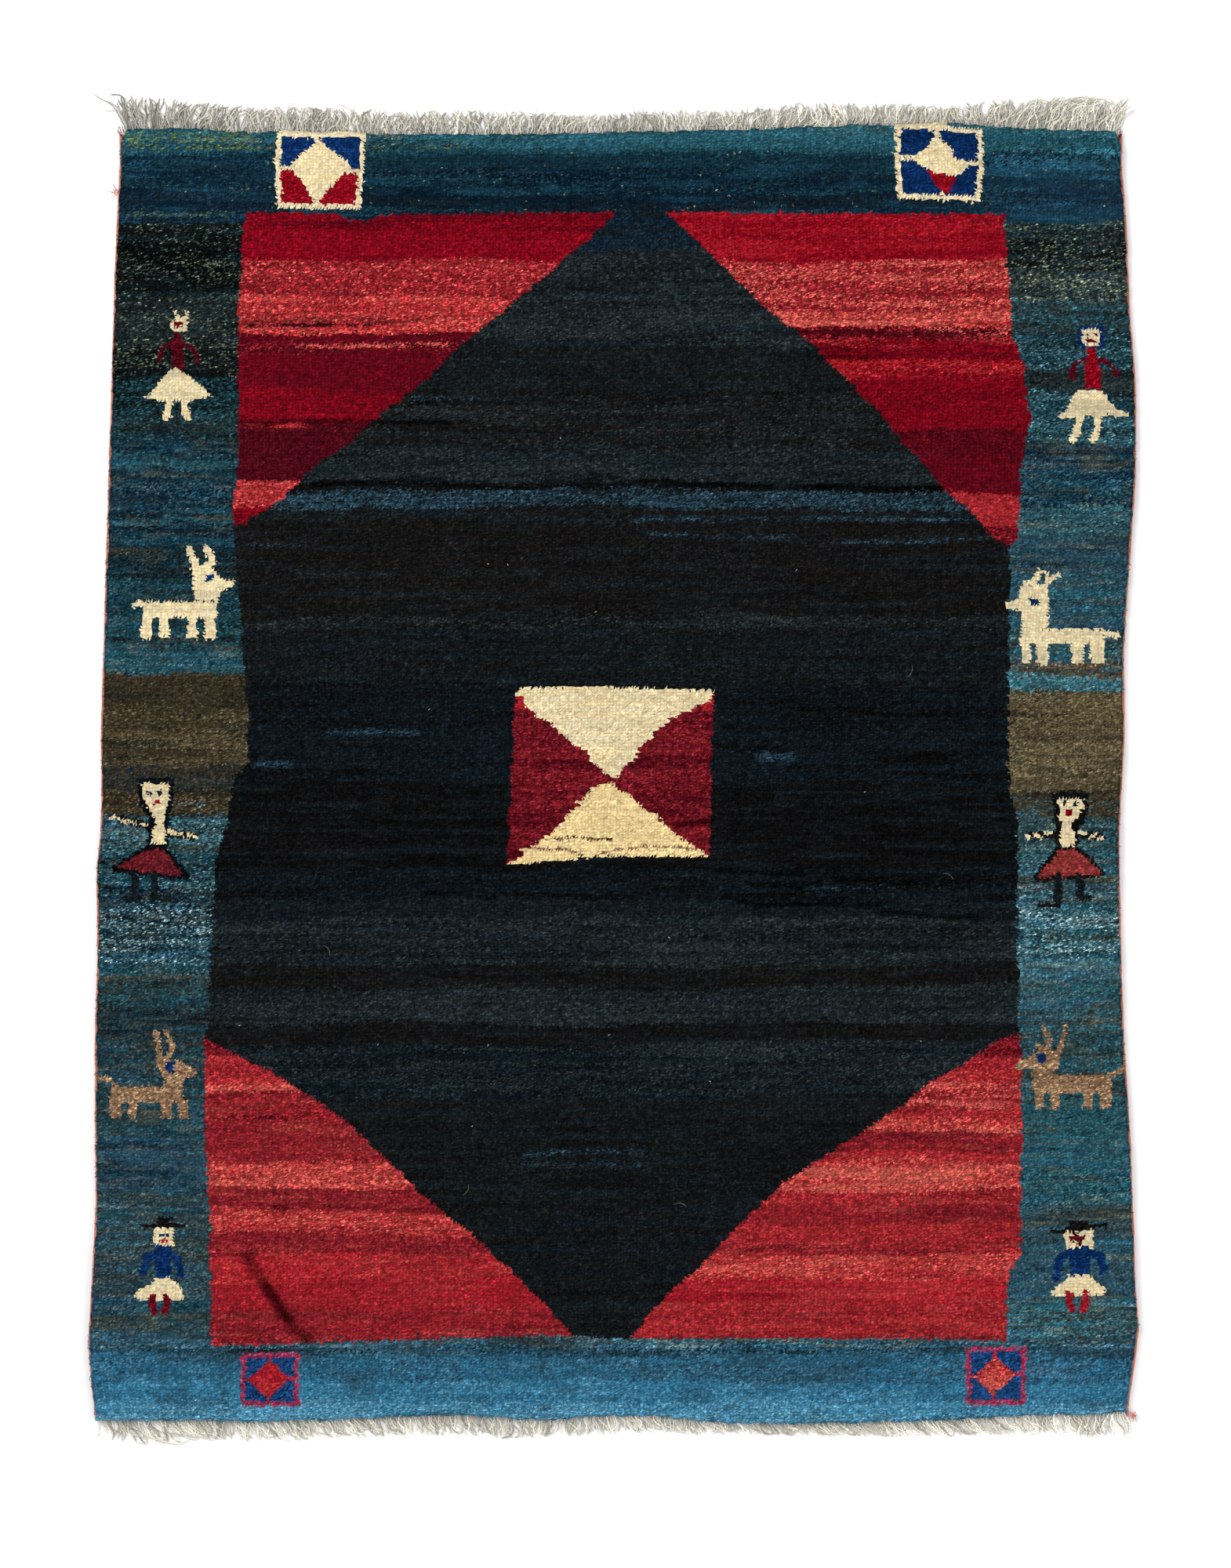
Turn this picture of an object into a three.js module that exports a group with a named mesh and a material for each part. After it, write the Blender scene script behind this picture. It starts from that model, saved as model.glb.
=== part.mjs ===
// Gabbeh rug: a thick hand-knotted wool rug, lying flat on a floor with its pile up.
// Millimetres, +Z up. X runs across the rug. Y runs along its warps, towards the end with the long fringe.
// The origin is on the floor, at the middle of the whole footprint, fringes included.
//
// Five pieces: the knotted rug itself, an overcast cord down each side, and at each end a narrow woven
// strip with the warp ends hanging from it. Every piece lies on the floor with a flat underside.

import * as THREE from 'three';

// Thicknesses, from the floor up
const clothThickness = 4.2; // ground cloth, warps and wefts
const pileHeight = 12; // floor to the tips of the pile, before its lumps
const bulgeHeight = 7.2; // where the pile leans furthest out past the cloth
const shoulderDrop = 1.8; // how far the pile's rim is rounded down
const shoulderWidth = 10; // and how far in that rounding reaches

// Mean places of the pile's two ends
const headEnd = 751;
const footEnd = -767;

// Side cords and end strips
const pieceGap = 0.35; // between pieces that touch on the real rug
const stripGap = 0.65; // the same for a strip, whose straight stretches cut across the cloth's bends
const cordWidth = 6.2;
const cordHeight = 4;
const cordUnevenness = 0.06; // share of its width
const stripWidth = 4.6;
const stripHeight = 3.2;

// Fringe locks
const locksPerEnd = 120;
const lockWidth = 7; // across a lock at its root, on a pitch of about 9.8
const lockHeight = 2.7;
const reachUnevenness = 0.16; // share of a lock's reach
const leanUnevenness = 0.04; // mm sideways for each mm out
const lockBow = 1.1; // how far a lock bends off its straight line
const bowTurn = 0.7; // how fast the bows change from lock to lock, in radians

// Steps of the rug's surface
const columns = 34;
const rows = 42;
const foldSteps = 8; // finer steps through the fold in the corner
const foldAcross = { from: 0.13, to: 0.21 }; // where they lie, as shares of the width
const foldAlong = { from: 0.06, to: 0.135 }; // and of the length, from the foot

// How far the pile leans out over its neighbour, at the sides and at the ends
const sideLean = 4.2;
const endLean = 3.4;
const rimUnevenness = 1.3;
const topLeanShare = 0.7; // how much of that lean is left at the rim's top
const lumpHeight = 0.35; // unevenness of the knots' tips

// The rug's sides: a row for each section along it, with the outer edge of the left and right cords.
// It was woven wider and wider towards the foot, and the sides wander.
const sideSections = [
  { along: 753, left: -581, right: 598 },
  { along: 647, left: -586, right: 606 },
  { along: 545, left: -590, right: 610 },
  { along: 443, left: -593, right: 618 },
  { along: 341, left: -596, right: 617 },
  { along: 240, left: -599, right: 610 },
  { along: 138, left: -602, right: 603 },
  { along: 36, left: -605, right: 604 },
  { along: -66, left: -604, right: 598 },
  { along: -117, left: -610, right: 598 },
  { along: -218, left: -609, right: 600 },
  { along: -320, left: -612, right: 603 },
  { along: -422, left: -612, right: 610 },
  { along: -524, left: -611, right: 614 },
  { along: -625, left: -617, right: 617 },
  { along: -676, left: -620, right: 621 },
  { along: -727, left: -617, right: 614 },
  { along: -769, left: -611, right: 608 },
];

// The head edge of the pile: a row for each section across it.
// reach is how far the fringe lies past the pile, and lean how far sideways it goes for each mm out.
const headSections = [
  { across: -581, edge: 752, reach: 33, lean: -0.55 },
  { across: -515, edge: 754, reach: 25, lean: 0.1 },
  { across: -455, edge: 750, reach: 24, lean: 0.35 },
  { across: -349, edge: 744, reach: 28, lean: 0.05 },
  { across: -238, edge: 746, reach: 27, lean: -0.2 },
  { across: -164, edge: 746, reach: 28, lean: 0.15 },
  { across: -16, edge: 748, reach: 21, lean: 0.3 },
  { across: 58, edge: 750, reach: 25, lean: -0.15 },
  { across: 132, edge: 751, reach: 23, lean: 0.1 },
  { across: 206, edge: 754, reach: 27, lean: 0.3 },
  { across: 280, edge: 757, reach: 26, lean: 0 },
  { across: 354, edge: 758, reach: 23, lean: 0.25 },
  { across: 391, edge: 760, reach: 19, lean: 0.1 },
  { across: 465, edge: 754, reach: 33, lean: 0.3 },
  { across: 539, edge: 751, reach: 36, lean: 0.35 },
  { across: 598, edge: 750, reach: 36, lean: 0.45 },
];

// The foot edge of the pile, in the same way
const footSections = [
  { across: -611, edge: -769, reach: 10, lean: 0.3 },
  { across: -570, edge: -770, reach: 16, lean: 0.8 },
  { across: -497, edge: -769, reach: 12, lean: 0.9 },
  { across: -423, edge: -771, reach: 19, lean: 0.55 },
  { across: -312, edge: -768, reach: 17, lean: 0.8 },
  { across: -201, edge: -762, reach: 22, lean: 0.35 },
  { across: -127, edge: -766, reach: 15, lean: 0.4 },
  { across: -90, edge: -770, reach: 14, lean: 0.1 },
  { across: -16, edge: -764, reach: 20, lean: -0.1 },
  { across: 21, edge: -763, reach: 20, lean: 0.7 },
  { across: 95, edge: -768, reach: 16, lean: 0.5 },
  { across: 132, edge: -773, reach: 8, lean: 1 },
  { across: 243, edge: -773, reach: 12, lean: 0.9 },
  { across: 354, edge: -770, reach: 15, lean: 1.1 },
  { across: 465, edge: -765, reach: 11, lean: 1 },
  { across: 502, edge: -763, reach: 18, lean: 0.4 },
  { across: 576, edge: -763, reach: 15, lean: 0.3 },
  { across: 608, edge: -757, reach: 27, lean: 0.35 },
];

// Low waves of a rug that has been rolled and trodden: a row for each wave.
// heading is the angle of its travel from +X, in degrees.
const waves = [
  { height: 0.45, length: 410, heading: 74, phase: 0.4 },
  { height: 0.35, length: 265, heading: 12, phase: 2.1 },
  { height: 0.3, length: 158, heading: 121, phase: 4.0 },
  { height: 0.25, length: 93, heading: 52, phase: 1.2 },
];

// Troughs where the pile has creased: a row for each straight stretch
const folds = [
  { fromX: -432, fromY: -570, toX: -416, toY: -602, depth: 2, width: 20 },
  { fromX: -416, fromY: -602, toX: -389, toY: -640, depth: 2.8, width: 22 },
  { fromX: -389, fromY: -640, toX: -372, toY: -666, depth: 1.8, width: 20 },
];

// Reads a column of a table at any place between its rows, which may run up or down
function readTable(table, key, column, place) {
  const rising = table[1][key] > table[0][key];
  const ordered = rising ? table : [...table].reverse();
  const last = ordered.length - 1;
  if (place <= ordered[0][key]) {
    return ordered[0][column];
  }
  if (place >= ordered[last][key]) {
    return ordered[last][column];
  }
  let row = 0;
  while (ordered[row + 1][key] < place) {
    row += 1;
  }
  const part = (place - ordered[row][key]) / (ordered[row + 1][key] - ordered[row][key]);
  return THREE.MathUtils.lerp(ordered[row][column], ordered[row + 1][column], part);
}

// A repeatable unevenness between -1 and 1 for a whole number
function uneven(index) {
  return ((index * (index * 83 + 421) + 57) % 1009) / 504 - 1;
}

// Gathers points and faces, and returns them as one closed geometry.
// The corners of a face run anticlockwise, seen from outside.
class Shell {
  constructor() {
    this.points = [];
    this.faces = [];
  }

  point(x, y, z) {
    this.points.push(x, y, z);
    return this.points.length / 3 - 1;
  }

  face(...corners) {
    for (let corner = 2; corner < corners.length; corner += 1) {
      this.faces.push(corners[0], corners[corner - 1], corners[corner]);
    }
  }

  // A wall between two closed rings of points that run anticlockwise seen from above
  band(lower, upper) {
    for (let k = 0; k < lower.length; k += 1) {
      const next = (k + 1) % lower.length;
      this.face(lower[k], lower[next], upper[next], upper[k]);
    }
  }

  geometry() {
    const geometry = new THREE.BufferGeometry();
    geometry.setAttribute('position', new THREE.Float32BufferAttribute(this.points, 3));
    geometry.setIndex(this.faces);
    geometry.computeVertexNormals();
    return geometry;
  }
}

// Shares from 0 to 1 for the lines of the rug's grid: even steps, a shoulder line close to each edge,
// and finer steps through the fold
function gridLines(steps, shoulder, fold) {
  const lines = [0, shoulder, 1 - shoulder, 1];
  for (let step = 1; step < steps; step += 1) {
    const fraction = step / steps;
    if (fraction < fold.from || fraction > fold.to) {
      lines.push(fraction);
    }
  }
  for (let step = 0; step <= foldSteps; step += 1) {
    lines.push(THREE.MathUtils.lerp(fold.from, fold.to, step / foldSteps));
  }
  return lines.sort((a, b) => a - b);
}

const meanWidth = 1210;
const columnLines = gridLines(columns, shoulderWidth / meanWidth, foldAcross);
const rowLines = gridLines(rows, shoulderWidth / (headEnd - footEnd), foldAlong);

// Where the ground cloth lies in plan, for shares across and along it.
// The ends' waves fade out towards the middle of the rug.
function clothPlan(across, along) {
  const y = THREE.MathUtils.lerp(footEnd, headEnd, along);
  const inset = cordWidth + pieceGap;
  const left = readTable(sideSections, 'along', 'left', y) + inset;
  const right = readTable(sideSections, 'along', 'right', y) - inset;
  const x = THREE.MathUtils.lerp(left, right, across);
  const headWave = readTable(headSections, 'across', 'edge', x) - headEnd;
  const footWave = readTable(footSections, 'across', 'edge', x) - footEnd;
  const wave = headWave * along ** 3 + footWave * (1 - along) ** 3;
  const lean = endLean * (1 - 2 * along);
  return new THREE.Vector2(x, y + wave + lean);
}

// How deep the creases are at a point of the rug
function foldDepth(x, y) {
  let depth = 0;
  const here = new THREE.Vector3(x, y, 0);
  const nearest = new THREE.Vector3();
  for (const fold of folds) {
    const line = new THREE.Line3(
      new THREE.Vector3(fold.fromX, fold.fromY, 0),
      new THREE.Vector3(fold.toX, fold.toY, 0),
    );
    line.closestPointToPoint(here, true, nearest);
    const away = nearest.distanceTo(here) / fold.width;
    depth = Math.max(depth, fold.depth * Math.exp(-4 * away * away));
  }
  return depth;
}

// The pile's height at a point: its mean height, the low waves, lumps of knots and the creases
function pileTop(x, y, lump) {
  let height = pileHeight + lumpHeight * uneven(lump);
  for (const wave of waves) {
    const heading = THREE.MathUtils.degToRad(wave.heading);
    const travel = x * Math.cos(heading) + y * Math.sin(heading);
    height += wave.height * Math.sin((2 * Math.PI * travel) / wave.length + wave.phase);
  }
  return height - foldDepth(x, y);
}

// The grid places along the cloth's rim, anticlockwise seen from above
function rimPlaces() {
  const lastColumn = columnLines.length - 1;
  const lastRow = rowLines.length - 1;
  const rim = [];
  for (let i = 0; i < lastColumn; i += 1) {
    rim.push({ i, j: 0 });
  }
  for (let j = 0; j < lastRow; j += 1) {
    rim.push({ i: lastColumn, j });
  }
  for (let i = lastColumn; i > 0; i -= 1) {
    rim.push({ i, j: lastRow });
  }
  for (let j = lastRow; j > 0; j -= 1) {
    rim.push({ i: 0, j });
  }
  return rim;
}

// The knotted rug: ground cloth and pile as one solid, its underside flat on the floor
function knottedRug() {
  const shell = new Shell();
  const rim = rimPlaces();
  const plan = rim.map(({ i, j }) => clothPlan(columnLines[i], rowLines[j]));
  const outward = plan.map((_, k) => {
    const before = plan[(k + plan.length - 1) % plan.length];
    const after = plan[(k + 1) % plan.length];
    const run = after.clone().sub(before).normalize();
    return new THREE.Vector2(run.y, -run.x);
  });
  const rimLean = plan.map((_, k) => {
    const atSide = Math.abs(outward[k].x) > 0.5;
    return (atSide ? sideLean : endLean) + rimUnevenness * uneven(k);
  });

  const ring = (height, share) => plan.map((point, k) => {
    const out = outward[k].clone().multiplyScalar(rimLean[k] * share).add(point);
    return shell.point(out.x, out.y, height);
  });
  const floorRing = ring(0, 0);
  const clothRing = ring(clothThickness, 0);
  const bulgeRing = ring(bulgeHeight, 1);

  const grid = rowLines.map((along, j) => columnLines.map((across, i) => {
    const point = clothPlan(across, along);
    const onRim = i === 0 || j === 0 || i === columnLines.length - 1 || j === rowLines.length - 1;
    if (!onRim) {
      return shell.point(point.x, point.y, pileTop(point.x, point.y, i * 31 + j * 17));
    }
    const k = rim.findIndex((place) => place.i === i && place.j === j);
    const out = outward[k].clone().multiplyScalar(rimLean[k] * topLeanShare).add(point);
    return shell.point(out.x, out.y, pileTop(out.x, out.y, k) - shoulderDrop);
  }));
  const topRing = rim.map(({ i, j }) => grid[j][i]);

  shell.band(floorRing, clothRing);
  shell.band(clothRing, bulgeRing);
  shell.band(bulgeRing, topRing);
  for (let j = 0; j + 1 < rowLines.length; j += 1) {
    for (let i = 0; i + 1 < columnLines.length; i += 1) {
      shell.face(grid[j][i], grid[j][i + 1], grid[j + 1][i + 1], grid[j + 1][i]);
    }
  }
  for (const [a, b, c] of THREE.ShapeUtils.triangulateShape(plan, [])) {
    shell.face(floorRing[c], floorRing[b], floorRing[a]);
  }
  return shell.geometry();
}

// The section of a side cord, as shares of its width and height: out from the cloth, up from the floor
const cordSection = [
  { out: 0, up: 0 },
  { out: 0.78, up: 0 },
  { out: 1, up: 0.42 },
  { out: 0.84, up: 0.88 },
  { out: 0.48, up: 1 },
  { out: 0.1, up: 0.8 },
];

// An overcast side cord, beside the cloth's edge from foot to head. side is -1 for left, 1 for right
function sideCord(side) {
  const shell = new Shell();
  const across = side < 0 ? 0 : 1;
  const rings = rowLines.map((along, j) => {
    const edge = clothPlan(across, along);
    const width = cordWidth * (1 + cordUnevenness * uneven(j));
    return cordSection.map(({ out, up }) => (
      shell.point(edge.x + side * (pieceGap + out * width), edge.y, up * cordHeight)
    ));
  });
  // The section runs anticlockwise seen from the foot on the right side, and the other way on the left
  const outside = side < 0 ? rings : [...rings].reverse();
  for (let j = 0; j + 1 < outside.length; j += 1) {
    shell.band(outside[j], outside[j + 1]);
  }
  shell.face(...[...outside[0]].reverse());
  shell.face(...outside[outside.length - 1]);
  return shell.geometry();
}

// The course of a lock from its root to its tip: share of its reach, width and height at each section
const lockCourse = [
  { share: 0, width: 1, height: 1 },
  { share: 0.45, width: 0.9, height: 0.92 },
  { share: 0.84, width: 0.66, height: 0.7 },
];

// A woven end strip beside the cloth's end, with its fringe lying flat on the floor.
// end is 1 for the head and -1 for the foot.
function fringe(end, sections) {
  const shell = new Shell();
  const along = end > 0 ? 1 : 0;
  const border = columnLines.map((across) => clothPlan(across, along));
  const first = border[0].x;
  const last = border[border.length - 1].x;
  // The cloth's edge between two of its points is straight, and the strip keeps to it
  const clothEdge = (x) => {
    let i = 0;
    while (i + 2 < border.length && border[i + 1].x < x) {
      i += 1;
    }
    const part = (x - border[i].x) / (border[i + 1].x - border[i].x);
    return THREE.MathUtils.lerp(border[i].y, border[i + 1].y, part);
  };
  const near = (x) => clothEdge(x) + end * stripGap;
  const far = (x) => clothEdge(x) + end * (stripGap + stripWidth);
  // Seen from above, a face of the foot strip turns the other way from one of the head strip
  const face = (...corners) => shell.face(...(end > 0 ? corners : corners.reverse()));

  const pitch = (last - first) / locksPerEnd;
  const posts = [];
  for (let k = 0; k <= locksPerEnd; k += 1) {
    const x = first + k * pitch;
    posts.push({
      nearFloor: shell.point(x, near(x), 0),
      nearTop: shell.point(x, near(x), stripHeight),
      farFloor: shell.point(x, far(x), 0),
      farTop: shell.point(x, far(x), stripHeight),
    });
  }

  for (let k = 0; k < locksPerEnd; k += 1) {
    const here = posts[k];
    const next = posts[k + 1];
    const middle = first + (k + 0.5) * pitch;
    const hidden = stripGap + stripWidth - endLean;
    const shown = readTable(sections, 'across', 'reach', middle) * (1 + reachUnevenness * uneven(k));
    const reach = shown - hidden;
    const lean = readTable(sections, 'across', 'lean', middle) + leanUnevenness * uneven(k + 500);
    const bow = lockBow * Math.sin(k * bowTurn);
    const rings = lockCourse.map(({ share, width, height }) => {
      const x = middle + share * reach * lean + bow * Math.sin(Math.PI * share);
      const y = far(middle) + end * share * reach;
      const half = (lockWidth * width) / 2;
      const atWall = share === 0;
      return {
        left: shell.point(x - half, atWall ? far(x - half) : y, 0),
        ridge: shell.point(x, y, lockHeight * height),
        right: shell.point(x + half, atWall ? far(x + half) : y, 0),
      };
    });
    const tip = shell.point(middle + reach * lean, far(middle) + end * reach, 0);
    const root = rings[0];

    face(here.nearTop, next.nearTop, next.farTop, here.farTop);
    face(here.nearFloor, next.nearFloor, next.nearTop, here.nearTop);
    face(here.nearFloor, here.farFloor, root.left, root.right, next.farFloor, next.nearFloor);
    face(here.farTop, root.ridge, root.left);
    face(here.farTop, root.left, here.farFloor);
    face(here.farTop, next.farTop, root.ridge);
    face(next.farTop, root.right, root.ridge);
    face(next.farTop, next.farFloor, root.right);

    for (let step = 0; step + 1 < rings.length; step += 1) {
      const a = rings[step];
      const b = rings[step + 1];
      face(a.left, a.ridge, b.ridge, b.left);
      face(a.ridge, a.right, b.right, b.ridge);
      face(a.right, a.left, b.left, b.right);
    }
    const neck = rings[rings.length - 1];
    face(neck.left, neck.ridge, tip);
    face(neck.ridge, neck.right, tip);
    face(neck.right, neck.left, tip);
  }

  const start = posts[0];
  const finish = posts[locksPerEnd];
  face(start.nearFloor, start.nearTop, start.farTop, start.farFloor);
  face(finish.nearFloor, finish.farFloor, finish.farTop, finish.nearTop);
  return shell.geometry();
}

// A cloth material, dull all over
function cloth(color) {
  return new THREE.MeshStandardMaterial({ color, roughness: 0.95, metalness: 0 });
}

function piece(name, geometry, color) {
  const mesh = new THREE.Mesh(geometry, cloth(color));
  mesh.name = name;
  return mesh;
}

const fieldWool = 0x141b22;
const salmonWool = 0xd98c74;
const naturalWool = 0xc4bbaa;

const rug = new THREE.Group();
rug.add(
  piece('knotted_rug', knottedRug(), fieldWool),
  piece('side_cord_left', sideCord(-1), salmonWool),
  piece('side_cord_right', sideCord(1), salmonWool),
  piece('fringe_head', fringe(1, headSections), naturalWool),
  piece('fringe_foot', fringe(-1, footSections), naturalWool),
);

export default rug;
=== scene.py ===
import math

import bpy
import numpy as np
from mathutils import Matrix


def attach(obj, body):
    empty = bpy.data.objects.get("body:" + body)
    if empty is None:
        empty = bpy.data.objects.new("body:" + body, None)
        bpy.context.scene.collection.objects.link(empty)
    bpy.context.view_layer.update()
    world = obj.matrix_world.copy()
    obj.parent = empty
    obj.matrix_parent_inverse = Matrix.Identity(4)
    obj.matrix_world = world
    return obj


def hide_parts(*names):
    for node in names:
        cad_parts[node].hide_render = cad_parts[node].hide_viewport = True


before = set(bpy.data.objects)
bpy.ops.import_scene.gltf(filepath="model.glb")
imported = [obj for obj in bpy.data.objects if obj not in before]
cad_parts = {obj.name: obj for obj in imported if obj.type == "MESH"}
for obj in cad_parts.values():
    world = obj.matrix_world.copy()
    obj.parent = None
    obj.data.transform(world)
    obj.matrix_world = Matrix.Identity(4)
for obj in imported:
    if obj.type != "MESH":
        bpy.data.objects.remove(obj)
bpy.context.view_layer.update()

mm = 0.001
scene = bpy.context.scene
body = "root"


# Plain helpers: repeatable noise, tables, colours

def chance(seed):
    return np.random.default_rng(seed)


def drift(x, y, length, height, seed):  # smooth noise from -1 to 1, in patches of length by height
    r = chance(seed).uniform(-1, 1, (97, 89))
    across = np.asarray(x, float) / length + 40.3
    up = np.asarray(y, float) / height + 30.7
    i = np.floor(across).astype(int)
    j = np.floor(up).astype(int)
    s = across - i
    t = up - j
    s = s * s * (3 - 2 * s)
    t = t * t * (3 - 2 * t)
    low = r[i % 97, j % 89] * (1 - s) + r[(i + 1) % 97, j % 89] * s
    high = r[i % 97, (j + 1) % 89] * (1 - s) + r[(i + 1) % 97, (j + 1) % 89] * s
    return low * (1 - t) + high * t


def linear(red, green, blue):  # a colour as a screen shows it, 0 to 255, for the shaders
    shown = np.array([red, green, blue]) / 255
    return np.where(shown <= 0.04045, shown / 12.92, ((shown + 0.055) / 1.055) ** 2.4)


# The wools, as dyed

wools = {
    "cream": linear(224, 209, 172),
    "creamShade": linear(196, 172, 124),
    "butter": linear(236, 209, 152),
    "straw": linear(170, 160, 110),
    "ivory": linear(116, 128, 108),
    "crimson": linear(132, 10, 26),
    "ruby": linear(100, 9, 23),
    "garnet": linear(80, 12, 24),
    "wine": linear(58, 10, 20),
    "cherry": linear(160, 28, 40),
    "madder": linear(146, 34, 42),
    "brick": linear(124, 30, 38),
    "salmon": linear(206, 92, 82),
    "coral": linear(168, 44, 48),
    "black": linear(14, 14, 14),
    "soot": linear(20, 20, 20),
    "umber": linear(24, 23, 22),
    "nightBlue": linear(17, 25, 31),
    "nightTeal": linear(22, 28, 31),
    "smoke": linear(38, 46, 48),
    "slateBlue": linear(44, 72, 88),
    "inkTeal": linear(15, 36, 52),
    "tealDeep": linear(27, 60, 72),
    "teal": linear(40, 88, 100),
    "tealLight": linear(78, 120, 130),
    "sky": linear(130, 165, 175),
    "peacock": linear(46, 104, 134),
    "steelBlue": linear(60, 124, 156),
    "paleSteel": linear(100, 158, 186),
    "leaf": linear(96, 112, 62),
    "gold": linear(152, 138, 60),
    "navy": linear(12, 42, 86),
    "indigo": linear(20, 54, 108),
    "olive": linear(62, 55, 40),
    "moss": linear(96, 86, 62),
    "bark": linear(46, 40, 30),
    "camel": linear(138, 106, 80),
    "sand": linear(176, 148, 116),
    "fir": linear(24, 31, 32),
    "flint": linear(46, 58, 60),
    "plum": linear(108, 32, 40),
    "rust": linear(147, 57, 55),
    "dustyRose": linear(158, 44, 76),
    "paleBlue": linear(30, 72, 122),
    "naturalWool": linear(226, 223, 211),
    "rawShade": linear(184, 178, 163),
    "cordSalmon": linear(218, 142, 122),
}


# Sockets that Python's own signs work on, and one way to add any node

def isVector(value):
    if isinstance(value, Wire):
        return value.socket.type in ("VECTOR", "RGBA")
    return isinstance(value, tuple)


class Wire:
    def __init__(self, net, socket):
        self.net = net
        self.socket = socket

    def joined(self, sign, first, second):
        if not (isVector(first) or isVector(second)):
            return self.net.add("ShaderNodeMath", {"operation": sign}, {0: first, 1: second})
        if sign == "MULTIPLY" and not (isVector(first) and isVector(second)):
            vector, number = (first, second) if isVector(first) else (second, first)
            return self.net.add("ShaderNodeVectorMath", {"operation": "SCALE"}, {0: vector, "Scale": number})
        return self.net.add("ShaderNodeVectorMath", {"operation": sign}, {0: first, 1: second})

    def __add__(self, other):
        return self.joined("ADD", self, other)

    def __radd__(self, other):
        return self.joined("ADD", other, self)

    def __sub__(self, other):
        return self.joined("SUBTRACT", self, other)

    def __rsub__(self, other):
        return self.joined("SUBTRACT", other, self)

    def __mul__(self, other):
        return self.joined("MULTIPLY", self, other)

    def __rmul__(self, other):
        return self.joined("MULTIPLY", other, self)

    def __pow__(self, other):
        return self.joined("POWER", self, other)

    def beside(self, name):  # another output of the same node
        return Wire(self.net, self.socket.node.outputs[name])


class Net:
    def __init__(self, tree):
        self.tree = tree

    def add(self, kind, settings=None, sockets=None, output=0):
        node = self.tree.nodes.new(kind)
        for name, value in (settings or {}).items():
            if name == "stops":
                ramp = node.color_ramp.elements
                while len(ramp) < len(value):
                    ramp.new(0.5)
                for stop, (place, shade) in zip(ramp, value):
                    stop.position = place
                    stop.color = (*shade, 1)
            else:
                setattr(node, name, value)
        for key, value in (sockets or {}).items():
            if isinstance(value, Wire):
                self.tree.links.new(value.socket, node.inputs[key])
            else:
                node.inputs[key].default_value = value
        return Wire(self, node.outputs[output])

    def wave(self, sign, value):  # sine or cosine
        return self.add("ShaderNodeMath", {"operation": sign}, {0: value})

    def attribute(self, name, kind="FLOAT"):  # in a geometry tree
        return self.add("GeometryNodeInputNamedAttribute", {"data_type": kind}, {"Name": name})

    def store(self, geometry, name, value, kind="FLOAT", domain="POINT"):
        settings = {"data_type": kind, "domain": domain}
        sockets = {"Geometry": geometry, "Name": name, "Value": value}
        return self.add("GeometryNodeStoreNamedAttribute", settings, sockets)


def newMaterial(name, roughness, sheen):
    material = bpy.data.materials.new(name)
    material.use_nodes = True
    shader = material.node_tree.nodes["Principled BSDF"]
    shader.inputs["Roughness"].default_value = roughness
    shader.inputs["Sheen Weight"].default_value = sheen
    shader.inputs["Sheen Roughness"].default_value = 0.45
    shader.inputs["Specular IOR Level"].default_value = 0.0
    return material, Net(material.node_tree), shader


def feed(net, value, shader, name):
    net.tree.links.new(value.socket, shader.inputs[name])


def feedBump(net, height, shader, strength, distance):  # the distance in mm
    sockets = {"Strength": strength, "Distance": distance * mm, "Height": height}
    feed(net, net.add("ShaderNodeBump", {}, sockets), shader, "Normal")


def painted(net, name, output="Color"):  # an attribute of the mesh, in a shader
    return net.add("ShaderNodeAttribute", {"attribute_name": name}, output=output)


def newGeometryTree(name, inputs):
    tree = bpy.data.node_groups.new(name, "GeometryNodeTree")
    tree.interface.new_socket("Geometry", in_out="INPUT", socket_type="NodeSocketGeometry")
    for label, kind in inputs.items():
        tree.interface.new_socket(label, in_out="INPUT", socket_type="NodeSocket" + kind)
    tree.interface.new_socket("Geometry", in_out="OUTPUT", socket_type="NodeSocketGeometry")
    net = Net(tree)
    entry = tree.nodes.new("NodeGroupInput")
    return net, {socket.name: Wire(net, socket) for socket in entry.outputs if socket.name}


def endTree(net, geometry, material, smooth=True):
    whole = net.add("GeometryNodeRealizeInstances", {}, {"Geometry": geometry})
    shaded = net.add("GeometryNodeSetShadeSmooth", {}, {"Geometry": whole, "Shade Smooth": smooth})
    dressed = net.add("GeometryNodeSetMaterial", {}, {"Geometry": shaded, "Material": material})
    leave = net.tree.nodes.new("NodeGroupOutput")
    net.tree.links.new(dressed.socket, leave.inputs[0])


def newObject(name, mesh):
    thing = bpy.data.objects.new(name, mesh)
    scene.collection.objects.link(thing)
    return thing


def grown(name, mesh, net, values):  # the mesh that a geometry tree makes of another mesh
    thing = newObject(name, mesh)
    modifier = thing.modifiers.new("grow", "NODES")
    modifier.node_group = net.tree
    for socket in net.tree.interface.items_tree:
        if socket.in_out == "INPUT" and socket.name in values:
            modifier[socket.identifier] = values[socket.name]
    graph = bpy.context.evaluated_depsgraph_get()
    made = bpy.data.meshes.new_from_object(thing.evaluated_get(graph), depsgraph=graph)
    thing.modifiers.clear()
    thing.data = made
    made.name = name
    bpy.data.meshes.remove(mesh)
    return thing


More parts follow.
